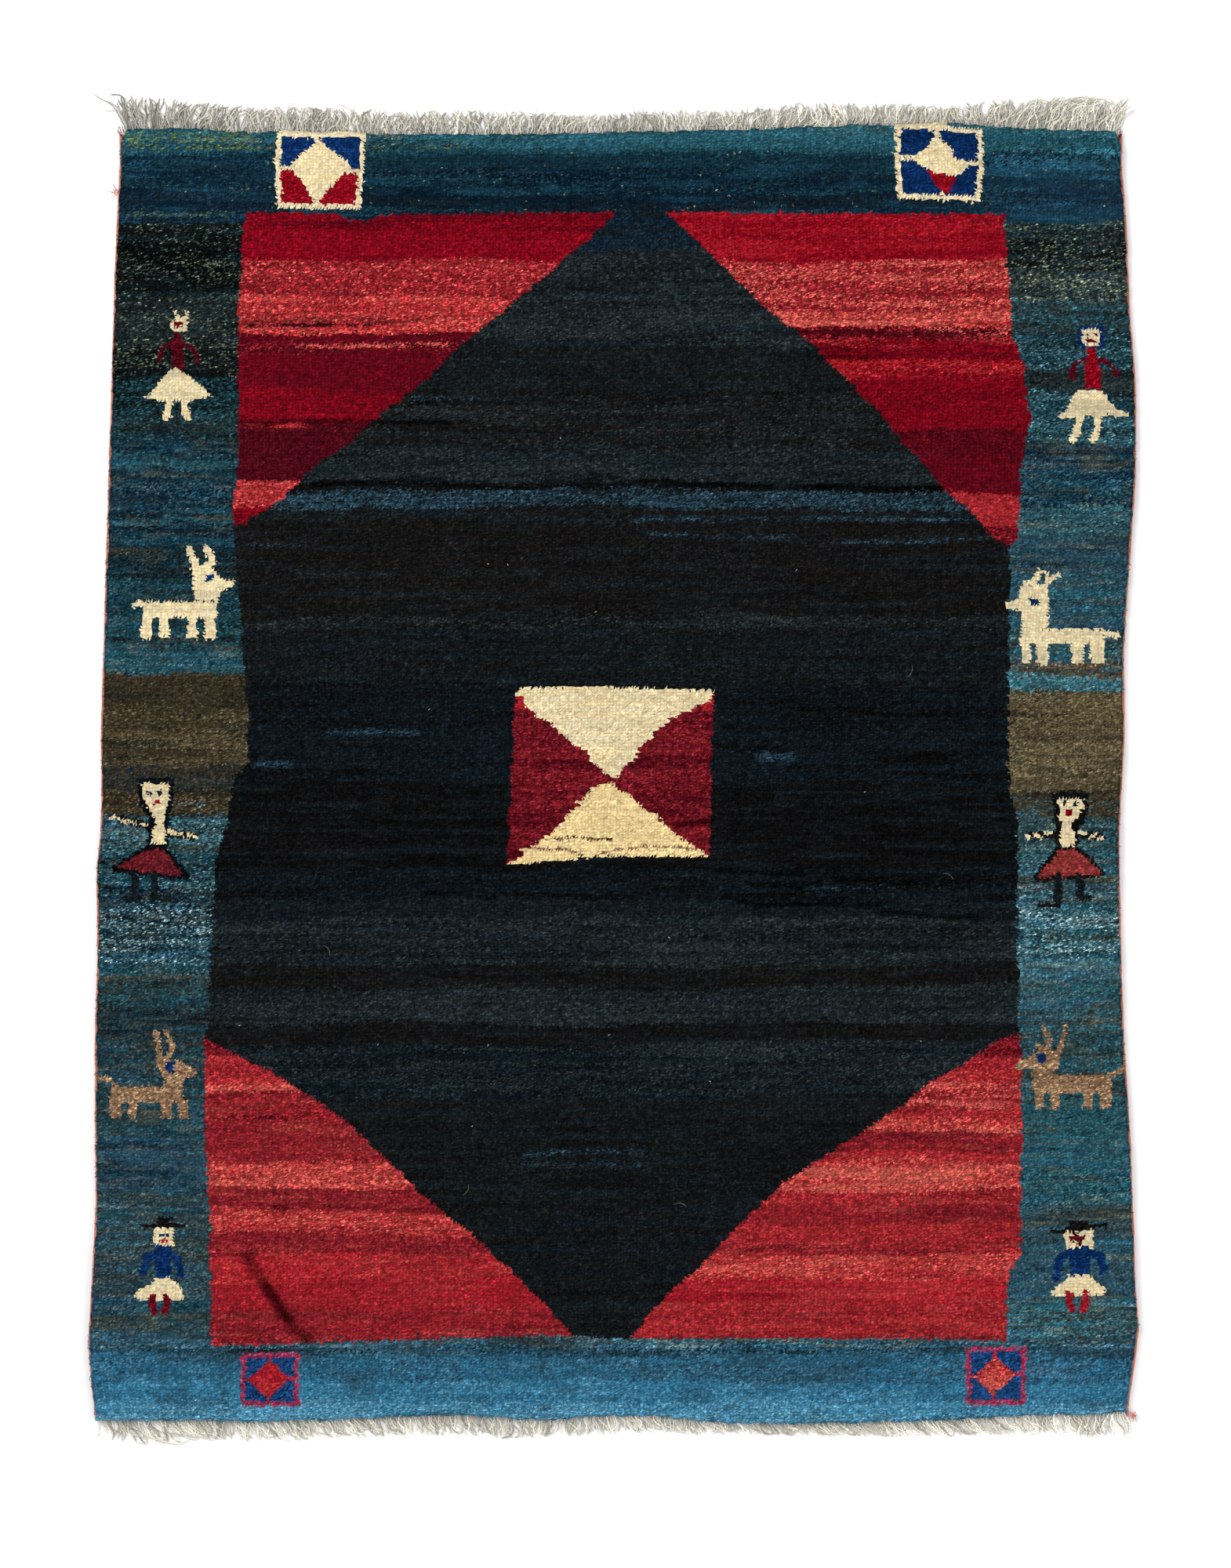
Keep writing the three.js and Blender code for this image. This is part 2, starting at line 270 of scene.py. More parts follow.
def plainMesh(name, points, faces=None, edges=None):
    mesh = bpy.data.meshes.new(name)
    points = np.asarray(points, np.float32)
    mesh.vertices.add(len(points))
    mesh.vertices.foreach_set("co", points.ravel())
    if edges is not None:
        mesh.edges.add(len(edges))
        mesh.edges.foreach_set("vertices", np.asarray(edges, np.int32).ravel())
    if faces is not None:  # one array of faces, or a list of arrays where the numbers of corners differ
        groups = faces if isinstance(faces, list) else [faces]
        sides = np.concatenate([np.full(len(group), np.shape(group)[1]) for group in groups])
        mesh.loops.add(int(sides.sum()))
        corners = np.concatenate([np.ravel(group) for group in groups])
        mesh.loops.foreach_set("vertex_index", corners.astype(np.int32))
        mesh.polygons.add(len(sides))
        mesh.polygons.foreach_set("loop_start", (np.cumsum(sides) - sides).astype(np.int32))
    mesh.update(calc_edges=edges is None)
    return mesh


def setColours(mesh, name, colours, domain, extra=1):  # the extra number rides as the alpha
    layer = mesh.color_attributes.new(name, "FLOAT_COLOR", domain)
    whole = np.ones((len(layer.data), 4), np.float32)
    whole[:, :3] = colours
    whole[:, 3] = extra
    layer.data.foreach_set("color", whole.ravel())


def setBakeMap(mesh, places):  # the map that textures are baked on
    layer = mesh.uv_layers.new(name="OFBake")
    layer.data.foreach_set("uv", places.astype(np.float32).ravel())


def setNumbers(mesh, name, numbers):
    layer = mesh.attributes.new(name, "FLOAT", "POINT")
    layer.data.foreach_set("value", np.asarray(numbers, np.float32))


def readNumbers(mesh, name):
    layer = mesh.attributes[name]
    found = np.empty(len(layer.data), np.float32)
    layer.data.foreach_get("value", found)
    return found


# The rug's outline, from the underside of the solid that the frame brings

def outlineOfCloth():
    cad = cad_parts["knotted_rug"].data
    points = np.empty(len(cad.vertices) * 3, np.float32)
    cad.vertices.foreach_get("co", points)
    points = points.reshape(-1, 3)
    ring = np.unique(points[points[:, 2] < 0.1 * mm].round(6), axis=0)
    low = ring.min(0)
    high = ring.max(0)
    away = np.stack([ring[:, 0] - low[0], high[0] - ring[:, 0], ring[:, 1] - low[1], high[1] - ring[:, 1]])
    nearest = away.argmin(0)
    edges = []
    for side, along in ((0, 1), (1, 1), (2, 0), (3, 0)):
        row = ring[nearest == side]
        row = row[row[:, along].argsort()]
        edges.append((row[:, along], row[:, 1 - along]))
    return edges


leftEdge, rightEdge, footEdge, headEdge = outlineOfCloth()
starTop = {"rise": 5, "place": -346, "reach": 62}  # mm: the left star's cream top stands out past the edge
fromStar = (headEdge[0] / mm - starTop["place"]) / starTop["reach"]
headEdge = (headEdge[0], headEdge[1] + starTop["rise"] * mm * np.exp(-(fromStar ** 4)))
footMean = float(footEdge[1].mean())
headMean = float(headEdge[1].mean())
print("outline read, mean ends", round(footMean, 4), round(headMean, 4))


def onEdge(edge, place):
    return np.interp(place, *edge)


def rugPlan(across, along):  # shares across and along the rug, to metres
    y = footMean + (headMean - footMean) * along
    left = onEdge(leftEdge, y)
    x = left + (onEdge(rightEdge, y) - left) * across
    headWave = (onEdge(headEdge, x) - headMean) * along ** 3
    footWave = (onEdge(footEdge, x) - footMean) * (1 - along) ** 3
    return x, y + (headWave + footWave)


# Cracks and parted rows of the pile: x and y of their points in knots, depth in mm, width in knots
creaseLine = [(-116, -156), (-112.5, -163), (-105, -173), (-98, -182)]
cracks = [
    ([(-21.5, -23), (-18, -22.3), (-16.5, -22.7), (-12, -22.2), (-6, -22.5), (0, -22.8)], 1.6, 0.8),
    ([(-26, -25.5), (-20, -25.9), (-15.5, -25.8), (-12.5, -27), (-10, -27.8)], 1.6, 0.8),
    ([(-4, -27.2), (1, -26), (7, -25.7), (11, -25), (16, -25.4), (21, -25.2), (26.5, -25.8)], 1.6, 0.8),
]
# besides sinking the pile, these parted rows and the crease darken its colour along them: painted shade
partings = [
    ([(21, -18.2), (24, -16.8), (31, -16.8)], 2.8, 0.9),
    ([(34, -33), (52, -34), (60, -33.5)], 2.4, 0.8),
    ([(44, -37.5), (66, -38)], 2.2, 0.8),
    ([(70, -35), (96, -36.5), (110, -36)], 2.4, 0.8),
    ([(40, -43), (74, -44), (86, -43.5)], 2.4, 0.8),
    ([(84, -46), (116, -47.5)], 2.2, 0.8),
    ([(-60, -40), (-38, -41)], 2.0, 0.8),
    ([(-96, 90), (-60, 91), (-40, 90.4)], 2.2, 0.8),
    ([(8, 91), (60, 89.4), (104, 88.8)], 2.4, 0.8),
    ([(-118, 109.8), (-84, 110.4), (-52, 109.6)], 2.0, 0.8),
    ([(-120, 141.4), (-90, 142.6), (-58, 142)], 2.0, 0.8),
    ([(60, 131), (88, 130.2)], 2.0, 0.8),
    (creaseLine, 3.8, 1.8),
]
crease = (creaseLine, 2.8, 3.4)


# The design, drawn in knots from the middle of the rug: x to the right, y towards the head

knot = 3.7 * mm
pile = {
    "columns": 320,
    "rows": 404,
    "strips": 4,  # pieces that the pile is parted into, side by side
    "height": 12.1,  # mm, floor to the tips
    "relief": 1.5,  # mm, tips over the gaps between knots
    "reliefChange": 1.1,
    "jitter": 1.0,
    "nap": 0.7,  # mm that the tips lean towards the foot
    "lumps": 0.35,  # mm
    # painted shade: the gaps between the knots are painted darker
    "gapPaintedShade": 0.8,
    # painted highlight: the tips of the knots are painted lighter
    "tipPaintedHighlight": 1.28,
    "seed": 5,
}

# Every knot shows as two by two tufts, and each tuft reads the design for itself
tuftColumn, tuftRow = np.meshgrid(np.arange(2 * pile["columns"]), np.arange(2 * pile["rows"]))
tuftAcross = (tuftColumn + 0.5) / 2 / pile["columns"]
tuftAlong = (tuftRow + 0.5) / 2 / pile["rows"]
tuftX, tuftY = (place / knot for place in rugPlan(tuftAcross, tuftAlong))
tuftCount = tuftX.shape
loose = chance(11)
rowShift = 0.6 * drift(tuftX, tuftRow // 4, 6, 1, 12) + 0.45 * drift(tuftX, tuftRow // 2, 3, 1, 13)
columnShift = 0.3 * drift(tuftColumn // 2, tuftY, 1, 6, 14)
atX = tuftX + rowShift + loose.normal(0, 0.13, tuftCount)
atY = tuftY + columnShift + loose.normal(0, 0.13, tuftCount)
calmX = tuftX + 0.6 * rowShift + loose.normal(0, 0.1, tuftCount)  # small marks are knotted with more care
calmY = tuftY + 0.5 * columnShift + loose.normal(0, 0.1, tuftCount)

main = np.zeros((*tuftCount, 3))  # colour of each tuft's yarn
fleck = np.zeros((*tuftCount, 3))  # colour of the other wool spun or knotted in with it
fleckShare = np.zeros(tuftCount)
grain = np.zeros(tuftCount)  # how much the brightness varies from strand to strand


def paint(mask, wool, other=None, share=0.0, vary=0.16):
    main[mask] = wools[wool]
    fleck[mask] = wools[other or wool]
    fleckShare[mask] = share
    grain[mask] = vary


def within(points, calm=False, jag=0):  # which tufts lie inside a polygon
    x, y = (calmX, calmY) if calm else (atX + jag * drift(tuftX, tuftRow // 2, 9, 1, 315), atY)
    xs, ys = np.array(points, float).T
    near = (x > xs.min()) & (x < xs.max()) & (y > ys.min()) & (y < ys.max())
    px = x[near]
    py = y[near]
    inside = np.zeros(len(px), bool)
    for k in range(len(xs)):
        x0, y0, x1, y1 = xs[k - 1], ys[k - 1], xs[k], ys[k]
        if y0 != y1:
            crosses = (y0 > py) != (y1 > py)
            inside ^= crosses & (px < (x1 - x0) * (py - y0) / (y1 - y0) + x0)
    found = np.zeros(x.shape, bool)
    found[near] = inside
    return found


def fromSegment(x, y, start, end):  # how far points lie from a straight line between two others
    x0, y0 = start
    x1, y1 = end
    length = max((x1 - x0) ** 2 + (y1 - y0) ** 2, 1e-9)
    share = np.clip(((x - x0) * (x1 - x0) + (y - y0) * (y1 - y0)) / length, 0, 1)
    return np.hypot(x - x0 - share * (x1 - x0), y - y0 - share * (y1 - y0))


def alongLine(points, width):  # which tufts lie within half a width of a line
    away = np.full(tuftCount, 1e9)
    for start, end in zip(points, points[1:]):
        (x0, y0), (x1, y1) = start, end
        nearX = np.abs(calmX - (x0 + x1) / 2) < abs(x1 - x0) / 2 + width
        near = nearX & (np.abs(calmY - (y0 + y1) / 2) < abs(y1 - y0) / 2 + width)
        away[near] = np.minimum(away[near], fromSegment(calmX[near], calmY[near], start, end))
    return away < width / 2


def box(left, top, right, foot):
    return [(left, top), (right, top), (right, foot), (left, foot)]


def layBands(mask, bands, seed, blend=1.2, wander=1.3):  # bands run down from the height each row gives
    tops = np.array([row[0] for row in bands], float)
    steps = 0.6 * blend * drift(tuftX, tuftRow // 2, 7, 1, seed + 400)
    place = tuftY + wander * drift(tuftX, tuftY, 34, 9, seed) + steps
    place = place + chance(seed).normal(0, 0.3 * blend, tuftCount)
    which = np.clip(np.searchsorted(-tops, -place) - 1, 0, len(bands) - 1)
    for k, (_, wool, other, share, vary) in enumerate(bands):
        paint(mask & (which == k), wool, other, share, vary)


innerLeft = [
    (-117.5, 176), (-118, 161), (-119, 146), (-119, 105), (-120.5, 82), (-120, 65), (-118, 45),
    (-117, 27), (-116, 15), (-116, 2), (-120.5, -3), (-123, -18), (-126.5, -30), (-127.5, -55),
    (-128.5, -78), (-130, -85), (-130, -110), (-129, -130), (-128, -155), (-128, -184),
]
innerRight = [
    (124.5, 176), (125.5, 157), (127, 137), (130.5, 127), (131.5, 115), (133, 111), (131.5, 105),
    (129.5, 95), (128.5, 75), (126, 70), (126, -5), (128.5, -18), (128.7, -80), (129.5, -85),
    (129.5, -105), (130.3, -118), (129.5, -130), (129.5, -155), (125.5, -163), (125.3, -182),
]
innerHead = [
    (-117.5, 176.8), (-88, 176.2), (-85, 174), (-78, 173.6), (-74, 175.8), (0, 176.8), (60, 176.4),
    (124.5, 176),
]
innerFoot = [(60, -181.5), (0, -181.5), (-13, -180.5), (-70, -182), (-128, -184)]
innerField = innerHead + innerRight + innerFoot + innerLeft[::-1]
medallion = [
    (2, 177.5), (16.5, 177.5), (22, 172), (34, 160), (48, 147), (55, 141), (63, 135), (76, 122),
    (87, 110), (103, 91), (116, 79), (121, 73), (128, 69.5), (130, -84), (120, -88), (112, -94),
    (100, -100), (94, -106), (74, -119), (54, -132), (42, -144), (30, -156), (16, -169), (5, -181.5),
    (-12, -181.5), (-23, -169), (-43, -150), (-58, -138), (-72, -125), (-84, -113), (-93, -107),
    (-103, -100), (-118, -92), (-130, -86), (-130, -70), (-121, 76.5), (-117, 78), (-106, 85), (-94, 97),
    (-84, 103), (-77, 110), (-61, 122), (-48, 135), (-33, 147), (-10, 166),
]


# How much lighter or darker each lot of border yarn is than the one wool that the bands name: height, factor
leftTones = [
    (172, 0.56), (166, 0.26), (160, 0.24), (153, 0.4), (146, 0.5), (134, 0.5), (120, 0.5), (106, 0.6),
    (99, 0.72), (93, 0.8), (88, 1), (82, 0.85), (76, 0.75), (70, 0.6), (64, 0.58), (58, 0.55), (44, 0.6),
    (36, 1), (28, 0.95), (20, 0.85), (10, 0.9), (4, 1.05), (-4, 0.8), (-12, 0.75), (-38, 0.68),
    (-44, 0.58), (-50, 0.46), (-56, 0.75), (-62, 1), (-68, 0.72), (-76, 0.58), (-86, 0.65), (-95, 0.9),
    (-110, 1), (-116, 1.25), (-122, 1.1), (-134, 1.05), (-140, 1.3), (-150, 1.2), (-160, 1.08),
    (-176, 1.2), (-182, 1.35),
]
rightTones = [
    (172, 0.75), (166, 0.58), (160, 0.74), (148, 0.96), (142, 0.95), (136, 0.95), (120, 0.9), (104, 1.1),
    (100, 1.25), (94, 1.4), (88, 1.5), (82, 0.95), (76, 0.8), (70, 1), (40, 1), (34, 1.2), (31, 2.1),
    (28, 2.5), (25.5, 2), (24, 1.3), (18, 1.15), (10, 1.2), (4, 1.5), (-2, 1.9), (-8, 1.3), (-16, 1),
    (-38, 1.35), (-44, 1.1), (-50, 0.82), (-58, 1), (-68, 1.2), (-76, 1.25), (-84, 1), (-110, 0.95),
    (-116, 1.2), (-134, 1.2), (-140, 1.5), (-150, 1.3), (-158, 1.4), (-170, 1.5), (-176, 1.75),
    (-182, 1.9),
]


def veil(mask, wool, share, length, height, seed):  # streaks of another wool all over an area
    for k, scale in enumerate((1, 0.45)):
        streak = drift(tuftX, tuftY, length * scale, height * scale, seed + k)
        strength = np.clip((streak - 0.25) * 1.6, 0, 1)[mask][:, None] * share
        main[mask] += (wools[wool] - main[mask]) * strength


borders = {  # where each part ends, in knots, and how many light specks the top has
    "sideTop": 173.5, "sideFoot": -184.5, "footTop": -183.5, "brown": (-16, 30), "highFoot": 105,
    "greenRight": -45, "greenFoot": 196.5, "specks": (177, 199), "speckShare": 0.014, "dullTop": 197,
}
topTones = {-150: 0.9, -112: 0.85, -70: 0.66, -20: 0.62, 60: 0.75, 112: 1, 128: 1.6, 155: 1.8}


def drawBorders():
    everywhere = np.ones(tuftCount, bool)
    topBands = [
        (220, "teal", "tealLight", 0.2, 0.2), (200, "teal", "tealDeep", 0.3, 0.2),
        (195, "tealDeep", "inkTeal", 0.4, 0.16), (190, "inkTeal", "tealDeep", 0.25, 0.17),
        (183, "inkTeal", "nightTeal", 0.3, 0.17), (178, "inkTeal", "tealDeep", 0.3, 0.16),
    ]
    layBands(everywhere, topBands, 21, 1.1)
    greens = [
        (220, "teal", "leaf", 0.35, 0.22), (203, "teal", "leaf", 0.3, 0.24),
        (199.5, "tealDeep", "leaf", 0.25, 0.22),
    ]
    green = tuftX < borders["greenRight"] + 8 * drift(tuftX, tuftY, 9, 1, 25)
    layBands(green & (tuftY > borders["greenFoot"]), greens, 26, 1.1)
    leftBands = [
        (175, "fir", "ivory", 0.07, 0.3), (160, "fir", "ivory", 0.1, 0.3),
        (152, "flint", "ivory", 0.1, 0.3), (143, "flint", "ivory", 0.09, 0.32),
        (134, "fir", "ivory", 0.13, 0.28), (124, "fir", "teal", 0.25, 0.26),
        (112, "flint", "teal", 0.2, 0.28), (106, "inkTeal", "teal", 0.3, 0.24),
        (95, "tealDeep", "inkTeal", 0.4, 0.24), (83, "inkTeal", "teal", 0.25, 0.22),
        (70, "tealDeep", "nightTeal", 0.3, 0.24), (60, "tealDeep", "teal", 0.3, 0.26),
        (41, "inkTeal", "teal", 0.3, 0.24), (38, "teal", "tealDeep", 0.4, 0.22),
        (29.5, "olive", "bark", 0.35, 0.22), (20, "olive", "moss", 0.25, 0.22),
        (0, "olive", "inkTeal", 0.3, 0.22), (-4, "flint", "olive", 0.35, 0.26),
        (-8, "olive", "moss", 0.3, 0.24), (-14, "flint", "tealLight", 0.3, 0.3),
        (-25, "tealDeep", "tealLight", 0.2, 0.34), (-38, "inkTeal", "tealLight", 0.16, 0.34),
        (-45, "tealDeep", "sky", 0.2, 0.34), (-62, "teal", "tealDeep", 0.4, 0.32),
        (-66, "flint", "teal", 0.25, 0.26), (-76, "inkTeal", "flint", 0.35, 0.24),
        (-86, "flint", "tealDeep", 0.35, 0.28), (-106, "tealDeep", "flint", 0.35, 0.24),
        (-118, "inkTeal", "slateBlue", 0.4, 0.22), (-134, "tealDeep", "flint", 0.4, 0.24),
        (-150, "slateBlue", "flint", 0.5, 0.26), (-168, "flint", "tealDeep", 0.4, 0.24),
        (-180, "slateBlue", "flint", 0.3, 0.22),
    ]
    rightBands = [
        (175, "flint", "ivory", 0.1, 0.32), (168, "fir", "ivory", 0.14, 0.32),
        (158, "flint", "ivory", 0.17, 0.34), (148, "flint", "teal", 0.3, 0.3),
        (138, "tealDeep", "tealLight", 0.2, 0.3), (128, "fir", "flint", 0.4, 0.24),
        (119, "tealDeep", "tealLight", 0.24, 0.3), (104, "inkTeal", "flint", 0.3, 0.24),
        (96, "tealDeep", "inkTeal", 0.35, 0.22), (83, "teal", "tealLight", 0.2, 0.24),
        (74, "tealDeep", "slateBlue", 0.4, 0.22), (62, "slateBlue", "teal", 0.4, 0.26),
        (43, "teal", "flint", 0.4, 0.3), (34, "olive", "flint", 0.35, 0.26),
        (29, "teal", "tealLight", 0.35, 0.26), (24.5, "olive", "moss", 0.45, 0.24),
        (10, "moss", "olive", 0.4, 0.22), (-4, "olive", "moss", 0.3, 0.24),
        (-10, "olive", "teal", 0.3, 0.28), (-17, "teal", "flint", 0.35, 0.3),
        (-34, "flint", "tealLight", 0.2, 0.3), (-43, "teal", "sky", 0.25, 0.34),
        (-62, "tealLight", "teal", 0.5, 0.26), (-67, "flint", "teal", 0.35, 0.26),
        (-82, "flint", "teal", 0.4, 0.26), (-106, "tealDeep", "teal", 0.4, 0.22),
        (-126, "teal", "tealDeep", 0.4, 0.24), (-140, "flint", "tealDeep", 0.3, 0.2),
        (-150, "tealDeep", "slateBlue", 0.4, 0.22), (-170, "teal", "flint", 0.4, 0.22),
        (-182, "slateBlue", "tealDeep", 0.4, 0.22),
    ]
    footBands = [
        (-183.5, "slateBlue", "tealDeep", 0.5, 0.2), (-187, "peacock", "slateBlue", 0.3, 0.18),
        (-195, "steelBlue", "peacock", 0.35, 0.18), (-202, "steelBlue", "paleSteel", 0.25, 0.18),
        (-206, "steelBlue", "paleSteel", 0.4, 0.18),
    ]
    side = (tuftY < borders["sideTop"] + drift(tuftX, tuftY, 22, 8, 5)) & (tuftY > borders["sideFoot"])
    layBands(side & (tuftX < 0), leftBands, 22)
    layBands(side & (tuftX > 0), rightBands, 23)
    foot = tuftY < borders["footTop"] + 0.8 * drift(tuftX, tuftY, 15, 8, 6)
    layBands(foot, footBands, 24, 1.6)
    brownFoot, brownTop = borders["brown"]
    brown = side & (tuftY < brownTop) & (tuftY > brownFoot)
    high = side & (tuftY > borders["highFoot"])
    blue = side & ~brown & ~high
    top = ~side & ~foot
    for area, *streaks in (
        (side, "fir", 0.75, 24, 1.6, 241), (blue, "teal", 0.5, 18, 1.4, 245),
        (side & ~high, "olive", 0.22, 20, 1.3, 249), (blue, "peacock", 0.4, 30, 2.2, 253),
        (blue, "straw", 0.12, 12, 1, 257), (high, "flint", 0.3, 16, 1.2, 277),
        (high, "teal", 0.2, 22, 2, 279),
        (top, "peacock", 0.3, 30, 2.5, 261), (top, "nightTeal", 0.35, 24, 2.6, 265),
        (foot, "paleSteel", 0.3, 16, 2.4, 269), (foot, "peacock", 0.5, 22, 2.2, 273),
        (foot, "slateBlue", 0.55, 15, 7, 313),
    ):
        veil(area, *streaks)
    low, highest = borders["specks"]
    specks = chance(317).random(tuftCount) < borders["speckShare"]
    paint((tuftY > low) & (tuftY < highest) & specks, "inkTeal", "ivory", 0.3, 0.3)
    across = np.interp(tuftX, list(topTones), list(topTones.values()))
    main[:] = np.where((top & (tuftY < borders["dullTop"]))[..., None], main * across[..., None], main)
    for half, tones in ((tuftX < 0, leftTones), (tuftX > 0, rightTones)):
        heights, factors = np.array(tones[::-1], float).T
        tone = np.interp(tuftY, heights, factors)[..., None]
        part = (side & half)[..., None]
        main[:] = np.where(part, main * tone, main)
        fleck[:] = np.where(part, fleck * np.minimum(tone ** 0.5, 1.2), fleck)


def drawField():
    inner = within(innerField)
    black = inner & within(medallion)
    blackBands = [
        (178, "inkTeal", "nightTeal", 0.5, 0.24), (166, "nightTeal", "smoke", 0.3, 0.26),
        (150, "nightTeal", "smoke", 0.4, 0.28), (135, "nightTeal", "umber", 0.3, 0.26),
        (119, "umber", "smoke", 0.2, 0.26), (102, "nightTeal", "smoke", 0.35, 0.26),
        (90, "black", "soot", 0.4, 0.24), (88, "slateBlue", "nightTeal", 0.42, 0.26),
        (82.5, "nightTeal", "umber", 0.5, 0.26), (79, "umber", "soot", 0.3, 0.24),
        (48, "soot", "smoke", 0.3, 0.24), (44, "nightTeal", "soot", 0.4, 0.26),
        (26, "black", "nightBlue", 0.4, 0.26), (12, "black", "nightBlue", 0.7, 0.26),
        (-5, "black", "soot", 0.15, 0.22), (-32, "black", "nightBlue", 0.5, 0.26),
        (-42, "nightBlue", "nightTeal", 0.5, 0.26), (-48, "nightTeal", "smoke", 0.4, 0.26),
        (-63, "umber", "soot", 0.4, 0.24), (-70, "smoke", "nightTeal", 0.5, 0.26),
        (-81, "soot", "umber", 0.4, 0.22), (-88, "nightBlue", "smoke", 0.3, 0.26),
        (-105, "nightTeal", "umber", 0.4, 0.24), (-112, "soot", "nightTeal", 0.3, 0.24),
        (-140, "umber", "nightBlue", 0.4, 0.24), (-165, "soot", "nightTeal", 0.4, 0.24),
    ]
    layBands(black, blackBands, 31, 1.4, 1.8)
    red = inner & ~black
    topLeft = [
        (178, "ruby", "crimson", 0.5, 0.17), (171, "crimson", "ruby", 0.2, 0.17),
        (161, "madder", "salmon", 0.1, 0.3), (150, "coral", "salmon", 0.2, 0.28),
        (138.5, "garnet", "ruby", 0.3, 0.2), (136, "garnet", "coral", 0.12, 0.2),
        (132.5, "ruby", "garnet", 0.3, 0.16), (120, "ruby", "crimson", 0.35, 0.15),
        (109.5, "garnet", "wine", 0.3, 0.2), (92.5, "coral", "salmon", 0.2, 0.2),
        (84, "ruby", "crimson", 0.3, 0.18),
    ]
    topRight = [
        (178, "crimson", "cherry", 0.3, 0.16), (160.5, "madder", "salmon", 0.42, 0.26),
        (155, "madder", "salmon", 0.34, 0.3), (146, "coral", "salmon", 0.55, 0.26),
        (140, "garnet", "coral", 0.35, 0.22), (135, "ruby", "crimson", 0.4, 0.2),
        (129, "crimson", "coral", 0.3, 0.22), (123, "crimson", "ruby", 0.4, 0.16),
        (107, "garnet", "ruby", 0.4, 0.2), (98, "ruby", "garnet", 0.4, 0.16),
        (88, "coral", "madder", 0.4, 0.2), (77, "garnet", "madder", 0.3, 0.22),
    ]
    footLeft = [
        (-84, "garnet", "madder", 0.5, 0.24), (-91, "madder", "coral", 0.4, 0.26),
        (-99, "salmon", "coral", 0.5, 0.26), (-104, "brick", "madder", 0.4, 0.24),
        (-111, "madder", "brick", 0.5, 0.26), (-115, "brick", "madder", 0.3, 0.22),
        (-125.5, "coral", "salmon", 0.25, 0.24), (-129.5, "coral", "salmon", 0.5, 0.26),
        (-133, "brick", "madder", 0.3, 0.22), (-141, "coral", "salmon", 0.2, 0.22),
        (-148.5, "madder", "brick", 0.5, 0.22), (-155, "coral", "cherry", 0.4, 0.2),
        (-164, "cherry", "madder", 0.45, 0.18), (-172, "brick", "madder", 0.4, 0.2),
        (-180, "madder", "flint", 0.12, 0.24),
    ]
    footRight = [
        (-84, "garnet", "madder", 0.4, 0.24), (-91, "coral", "madder", 0.4, 0.26),
        (-99, "madder", "salmon", 0.3, 0.26), (-106, "brick", "coral", 0.4, 0.24),
        (-111, "salmon", "coral", 0.5, 0.26), (-115, "brick", "madder", 0.5, 0.22),
        (-122, "madder", "coral", 0.4, 0.22), (-125, "salmon", "coral", 0.45, 0.24),
        (-134.5, "madder", "coral", 0.3, 0.24), (-139, "brick", "madder", 0.4, 0.2),
        (-145, "coral", "madder", 0.4, 0.2), (-150, "brick", "coral", 0.3, 0.22),
        (-155, "coral", "salmon", 0.25, 0.22), (-163, "cherry", "coral", 0.3, 0.18),
        (-170, "coral", "madder", 0.45, 0.2), (-173, "madder", "coral", 0.4, 0.2),
        (-181, "madder", "flint", 0.16, 0.24),
    ]
    high = tuftY > 0
    low = tuftY < 0
    for corner, bands, seed, wander in (
        ((tuftX < 10) & high, topLeft, 41, 1.5), ((tuftX > 10) & high, topRight, 42, 1.5),
        ((tuftX < -4) & low, footLeft, 43, 1.7), ((tuftX > -4) & low, footRight, 44, 1.7),
    ):
        layBands(red & corner, bands, seed, 0.9, wander)
    for area, *streaks in (
        (black, "black", 0.6, 30, 1.2, 281), (black, "slateBlue", 0.1, 26, 1.2, 285),
        (red, "garnet", 0.35, 26, 1.2, 289), (red & low, "salmon", 0.25, 24, 1.4, 293),
    ):
        veil(area, *streaks)
    return black, red


